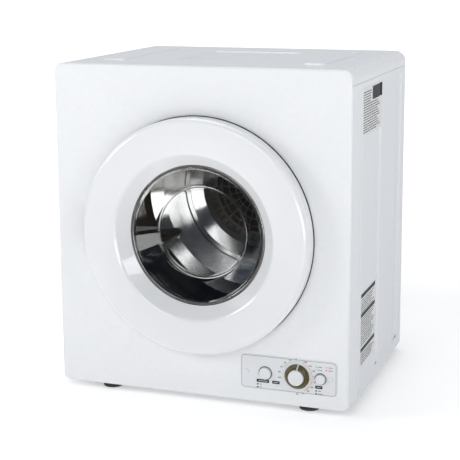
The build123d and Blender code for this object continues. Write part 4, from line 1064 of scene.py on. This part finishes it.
# Near-black ring material for round the buttons: painted shade in the gap between button and plate.
button_bezel = moulded_plastic(
    "button_bezel", (0.055, 0.056, 0.060), (0.045, 0.046, 0.050), 0.4, 0.0008, 0.00001
)
skirt_radius = (knob_high.x - knob_low.x) / 2
skirt_back = plate_face - 0.0006
crown_low, crown_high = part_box("knob_cap")
crown_radius = (crown_high.x - crown_low.x) / 2
skirt_front = knob_low.y
skirt_line = [
    (0.0, skirt_front + 0.0016, 0.0),
    (crown_radius + 0.0012, skirt_front + 0.0004, 0.0010),
    (crown_radius + 0.0036, skirt_front + 0.0002, 0.0016),
    (skirt_radius - 0.0010, skirt_back - 0.0018, 0.0010),
    (skirt_radius, skirt_back - 0.0004, 0.0004),
    (skirt_radius - 0.0004, skirt_back, 0.0),
    (0.0030, skirt_back, 0.0),
    (0.0030, knob_high.y, 0.0004),
    (0.0, knob_high.y, 0.0),
]
skirt = turned_piece(
    "timer_knob_skirt", skirt_line, knob_x, control_z, 128, "timer_knob", "knob_bronze", bronze_skirt, False
)
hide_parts("timer_knob")
crown_line = [
    (0.0, crown_low.y + 0.0007, 0.0),
    (crown_radius - 0.0035, crown_low.y + 0.0005, 0.0020),
    (crown_radius - 0.0016, crown_low.y, 0.0008),
    (crown_radius - 0.0004, crown_low.y + 0.0010, 0.0008),
    (crown_radius, crown_high.y, 0.0),
    (0.0, crown_high.y, 0.0),
]
crown = turned_piece(
    "timer_knob_crown", crown_line, knob_x, control_z, 128, "timer_knob", "white_plastic", button_white, False
)
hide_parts("knob_cap")

POINTER_LEAN = math.radians(8.0)
pointer_mesh = bmesh.new()
pointer_sections = []
for radius, y in (
    (crown_radius - 0.0002, skirt_front - 0.0002),
    (crown_radius + 0.0034, skirt_front - 0.0003),
    (skirt_radius - 0.0012, skirt_back - 0.0032),
    (skirt_radius - 0.0002, skirt_back - 0.0014),
):
    section = []
    for side, sink in ((-1, 0.0), (1, 0.0), (1, 0.0022), (-1, 0.0022)):
        off = side * 0.0011
        section.append(
            pointer_mesh.verts.new(
                (
                    knob_x + radius * math.sin(POINTER_LEAN) + off * math.cos(POINTER_LEAN), y + sink,
                    control_z + radius * math.cos(POINTER_LEAN) - off * math.sin(POINTER_LEAN),
                ),
            ),
        )
    pointer_sections.append(section)
close_strip(pointer_mesh, pointer_sections)
drawn_piece(pointer_mesh, "timer_knob_pointer", "timer_knob", "white_plastic", button_white)

for node, low, high in (("start_button", start_low, start_high), ("heat_button", heat_low, heat_high)):
    collar = (high.x - low.x) / 2
    face_radius = collar - 0.0022
    collar_y = plate_face + 0.0012 + 0.0016
    button_line = [
        (0.0, low.y + 0.0008, 0.0),
        (face_radius * 0.62, low.y + 0.0004, 0.0030),
        (face_radius - 0.0016, low.y, 0.0014),
        (face_radius, low.y + 0.0018, 0.0016),
        (face_radius, collar_y, 0.0),
        (collar, collar_y, 0.0003),
        (collar, collar_y + 0.0024, 0.0003),
        (face_radius, collar_y + 0.0024, 0.0),
        (face_radius, high.y, 0.0006),
        (0.0, high.y, 0.0),
    ]
    middle_x = (low.x + high.x) / 2
    button = turned_piece(
        node + "_face", button_line, middle_x, control_z, 96, node, "white_plastic", button_white, False
    )
    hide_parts(node)
    # A thin dark ring round each button stands in for the shade in its gap: a painted shadow line.
    gap_shade_line = [
        (face_radius + 0.0007, plate_face - 0.0003, 0.0),
        (face_radius + 0.0016, plate_face - 0.0003, 0.0002),
        (face_radius + 0.0018, plate_face, 0.0),
        (face_radius + 0.0007, plate_face, 0.0),
    ]
    turned_piece(
        node + "_bezel", gap_shade_line, middle_x, control_z, 96, "cabinet", "black_plastic", button_bezel
    )

cap_low, cap_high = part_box("plate_screw_caps")
for index, cap_x in enumerate((cap_low.x + 0.005, cap_high.x - 0.005)):
    cap_line = [
        (0.0, cap_low.y + 0.0002, 0.0),
        (0.0034, cap_low.y + 0.0003, 0.0010),
        (0.0048, cap_low.y + 0.0010, 0.0008),
        (0.0050, cap_high.y, 0.0),
        (0.0, cap_high.y, 0.0),
    ]
    screw_cap = turned_piece(
        "screw_cap_%d" % index, cap_line, cap_x, control_z, 48, "cabinet", "white_plastic", plate_satin, False
    )
    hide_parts("plate_screw_caps")


# ------------------------------------------------------------------ stickers on the right side
# Two paper stickers on the right side panel: each is a thin white sheet that follows the pressed
# grooves, with a dark heading bar and rows of small grey lines in place of words.

side_low, side_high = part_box("right_side_panel")
side_face = side_high.x
panel_front = cad_low.y + 0.040
groove_line = [(0.215, 0.0), (0.233, 0.002), (0.237, 0.002), (0.241, 0.0)]


def sink_at(depth):
    """How far the side panel is pressed in at that distance behind the front."""
    for (d0, s0), (d1, s1) in zip(groove_line, groove_line[1:]):
        if d0 <= depth <= d1:
            return s0 + (s1 - s0) * (depth - d0) / (d1 - d0)
    return 0.0


def on_side(u, v, lift):
    """Point on the right side: u behind the front, v up, lift out of the panel."""
    return (side_face - sink_at(u) + lift, panel_front + u, v)


def side_slab(name, material, boxes, base, top):
    """Thin slabs on the right side as one piece, each a closed strip that follows the grooves."""
    drawn = bmesh.new()
    for u0, u1, v0, v1 in boxes:
        stops = [u0] + [d for d, _ in groove_line if u0 < d < u1] + [u1]
        sections = []
        for u in stops:
            corners = ((v0, base), (v1, base), (v1, top), (v0, top))
            sections.append([drawn.verts.new(on_side(u, v, lift)) for v, lift in corners])
        close_strip(drawn, sections)
    return drawn_piece(drawn, name, "cabinet", "white_enamel", material)


sticker_paper = ink("sticker_paper", (0.80, 0.80, 0.79), (0.76, 0.76, 0.75))
base_z = side_low.z
sheets = [(0.084, 0.245, base_z + 0.520, base_z + 0.611), (0.088, 0.210, base_z + 0.061, base_z + 0.210)]
side_slab("sticker_sheets", sticker_paper, sheets, 0.00002, 0.00014)
bars = [(0.160, 0.243, base_z + 0.583, base_z + 0.609)]
for top_z in (0.2085, 0.169, 0.098):
    bars.append((0.090, 0.208, base_z + top_z - 0.008, base_z + top_z))
side_slab("sticker_bars", dark_ink, bars, 0.00014, 0.00020)
rows = []
gaps = random.Random(5)


def word_row(first, last, v):
    """Row of short printed strokes in place of words."""
    u = first
    while u < last - 0.006:
        stroke = gaps.uniform(0.006, 0.020)
        rows.append((u, min(u + stroke, last), v, v + 0.0018))
        u += stroke + gaps.uniform(0.0015, 0.0035)


for row in range(17):
    word_row(0.088, 0.150 if row > 11 else 0.200 + 0.010 * ((row * 7) % 4), base_z + 0.525 + 0.0048 * row)
for row in range(29):
    row_z = 0.065 + 0.0048 * row
    if any(abs(row_z + 0.001 - (top_z - 0.004)) < 0.0056 for top_z in (0.2085, 0.169, 0.098)):
        continue
    word_row(0.092, 0.180 + 0.007 * ((row * 5) % 4), base_z + row_z)
side_slab("sticker_rows", dark_ink, rows, 0.00014, 0.00020)


# ------------------------------------------------------------------ machinery
# Behind the panels: cast and turned steel for shafts, hinge and latch, black plastic switches,
# the blower and its housing, the painted motor, aluminium heater fins and the rubber belts.

bare_steel, tree, shader, place = start_finish("bare_turned_steel", Metallic=1.0)
steel_skin = use_effect(tree, lacquer_skin, {"Ripple Size": 0.0012, "Smear Size": 0.012}, place)
steel_rub = use_effect(tree, edge_rub, {"Break Size": 0.004}, place)
steel_tone = mix_tone(tree, steel_skin.outputs["Smear"], (0.60, 0.60, 0.61), (0.48, 0.48, 0.49))
# Inner corners are darkened: dirt and painted shade.
tree.links.new(
    mix_tone(tree, spread(tree, steel_rub.outputs["Dirt And Shade"], 0.0, 0.8), steel_tone, (0.14, 0.12, 0.10)),
    shader.inputs["Base Color"],
)
tree.links.new(spread(tree, steel_skin.outputs["Smear"], 0.24, 0.40), shader.inputs["Roughness"])
raise_bumps(tree, shader, steel_skin.outputs["Ripple"], 0.00001, 0.6)
paint(bare_steel, "drum_shaft", "motor_rotor", "idler_arm", "hinge_leaf", "hinge_bracket", "hinge_pin")
paint(bare_steel, "door_screws")

black_plastic = moulded_plastic(
    "black_moulding", (0.030, 0.030, 0.033), (0.022, 0.022, 0.025), 0.42, 0.0008, 0.00004
)
paint(black_plastic, "cord_gland", "thermostats", "fan_wheel", "latch_hook", "latch_catch", "door_switch")
paint(black_plastic, "start_switch", "heat_switch", "timer_body")
pale_plastic = moulded_plastic("pale_moulding", (0.66, 0.66, 0.64), (0.60, 0.60, 0.58), 0.45, 0.0012, 0.00005)
paint(pale_plastic, "fan_housing", "idler_wheel")
motor_paint = lacquered_steel("motor_enamel", (0.045, 0.048, 0.052), (0.10, 0.10, 0.10), 0.38)
paint(motor_paint, "motor_casing")
heater_metal = zinc_sheet("heater_aluminium", (0.66, 0.66, 0.64), (0.76, 0.76, 0.74), 0.34)
paint(heater_metal, "heater_element", "capacitor")
belt_rubber = moulded_plastic(
    "belt_rubber", (0.035, 0.035, 0.036), (0.026, 0.026, 0.027), 0.70, 0.0016, 0.00010
)
paint(belt_rubber, "drum_belt", "fan_belt")


# ------------------------------------------------------------------ exhaust collar and screws
# The rolled exhaust collar has a stiffening bead and a crimped mouth. The panels are held by
# plated pan-head screws with a cross recess.

collar_low, collar_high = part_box("exhaust_collar")
collar_x = (collar_low.x + collar_high.x) / 2
collar_z = (collar_low.z + collar_high.z) / 2
port_radius = (collar_high.x - collar_low.x) / 2 - 0.012
port_bore = port_radius - 0.0012
collar_line = [
    (port_bore, collar_low.y, 0.0),
    (port_radius + 0.012, collar_low.y, 0.0003),
    (port_radius + 0.012, collar_low.y + 0.0015, 0.0005),
    (port_radius + 0.0012, collar_low.y + 0.0015, 0.0010),
    (port_radius, collar_low.y + 0.0040, 0.0008),
    (port_radius, collar_high.y - 0.0005, 0.0004),
    (port_bore, collar_high.y, 0.0004),
]
collar = turned_piece(
    "exhaust_collar_rolled", collar_line, collar_x, collar_z, 144, "cabinet", "galvanised_steel", galvanised
)
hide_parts("exhaust_collar")


def loose_boxes(node):
    """Lowest and highest corner of each separate piece of a CAD node."""
    shape = bmesh.new()
    shape.from_mesh(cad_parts[node].data)
    bmesh.ops.remove_doubles(shape, verts=shape.verts[:], dist=0.00002)
    to_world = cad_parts[node].matrix_world
    waiting = set(shape.verts)
    boxes = []
    while waiting:
        queue = [waiting.pop()]
        places = []
        while queue:
            vert = queue.pop()
            places.append(to_world @ vert.co)
            for edge in vert.link_edges:
                other = edge.other_vert(vert)
                if other in waiting:
                    waiting.remove(other)
                    queue.append(other)
        boxes.append(
            tuple(Vector([pick(spot[axis] for spot in places) for axis in range(3)]) for pick in (min, max))
        )
    shape.free()
    return sorted(boxes, key=lambda box: tuple(box[0]))


def recess_reach(angle, half_slot, half_length):
    """Distance from the middle to the edge of a cross-shaped recess in that direction."""
    c = max(abs(math.cos(angle)), 1e-6)
    d = max(abs(math.sin(angle)), 1e-6)
    return max(min(half_slot / c, half_length / d), min(half_slot / d, half_length / c))


def cross_head_screw(drawn, x, y_back, y_front, z, head_radius, head_height, turn):
    """Add a pan-head screw with a cross recess; its head ends at y_back and faces +Y."""
    steps = 48
    shank = head_radius * 0.45
    rows = [
        (shank, y_front),
        (shank, y_back - head_height),
        (head_radius, y_back - head_height),
        (head_radius, y_back - 0.62 * head_height),
        (head_radius * 0.90, y_back - 0.22 * head_height),
        (head_radius * 0.72, y_back - 0.03 * head_height),
    ]
    rings = []
    for radius, y in rows:
        rings.append([(radius, y)] * steps)
    for scale, y in ((1.0, y_back), (0.72, y_back - 0.75 * head_height)):
        ring = []
        for step in range(steps):
            reach = recess_reach(2 * math.pi * step / steps, head_radius * 0.13, head_radius * 0.56)
            ring.append((reach * scale, y))
        rings.append(ring)
    made = []
    for ring in rings:
        row = []
        for step, (radius, y) in enumerate(ring):
            angle = turn + 2 * math.pi * step / steps
            row.append(drawn.verts.new((x + radius * math.cos(angle), y, z + radius * math.sin(angle))))
        made.append(row)
    for here, there in zip(made, made[1:]):
        for step in range(steps):
            after = (step + 1) % steps
            drawn.faces.new((here[step], here[after], there[after], there[step]))
    for row in (made[0], made[-1]):
        middle = sum((vert.co for vert in row), Vector()) / steps
        tip = drawn.verts.new(middle)
        for step in range(steps):
            drawn.faces.new((row[step], row[(step + 1) % steps], tip))


back_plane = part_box("rear_panel")[1].y
turns = random.Random(11)
screws_mesh = bmesh.new()
for low, high in loose_boxes("case_screws"):
    middle = (low + high) / 2
    head_radius = (high.x - low.x) / 2
    turn = turns.uniform(0, 1.5)
    if high.y > back_plane:
        shank_end = min(low.y, high.y - 0.0021)
        head_height = min(0.002, 0.99 * (high.y - low.y))
        cross_head_screw(screws_mesh, middle.x, high.y, shank_end, middle.z, head_radius, head_height, turn)
        continue
    ready = len(screws_mesh.verts)
    cross_head_screw(screws_mesh, 0, 0, low.z - high.z, 0, head_radius, 0.0024, turn)
    screws_mesh.verts.ensure_lookup_table()
    for vert in screws_mesh.verts[ready:]:
        vert.co = (middle.x + vert.co.x, middle.y + vert.co.z, low.z - vert.co.y)
pan_head_screws = drawn_piece(screws_mesh, "pan_head_screws", "cabinet", "bright_steel", bare_steel, 28.0)
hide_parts("case_screws")
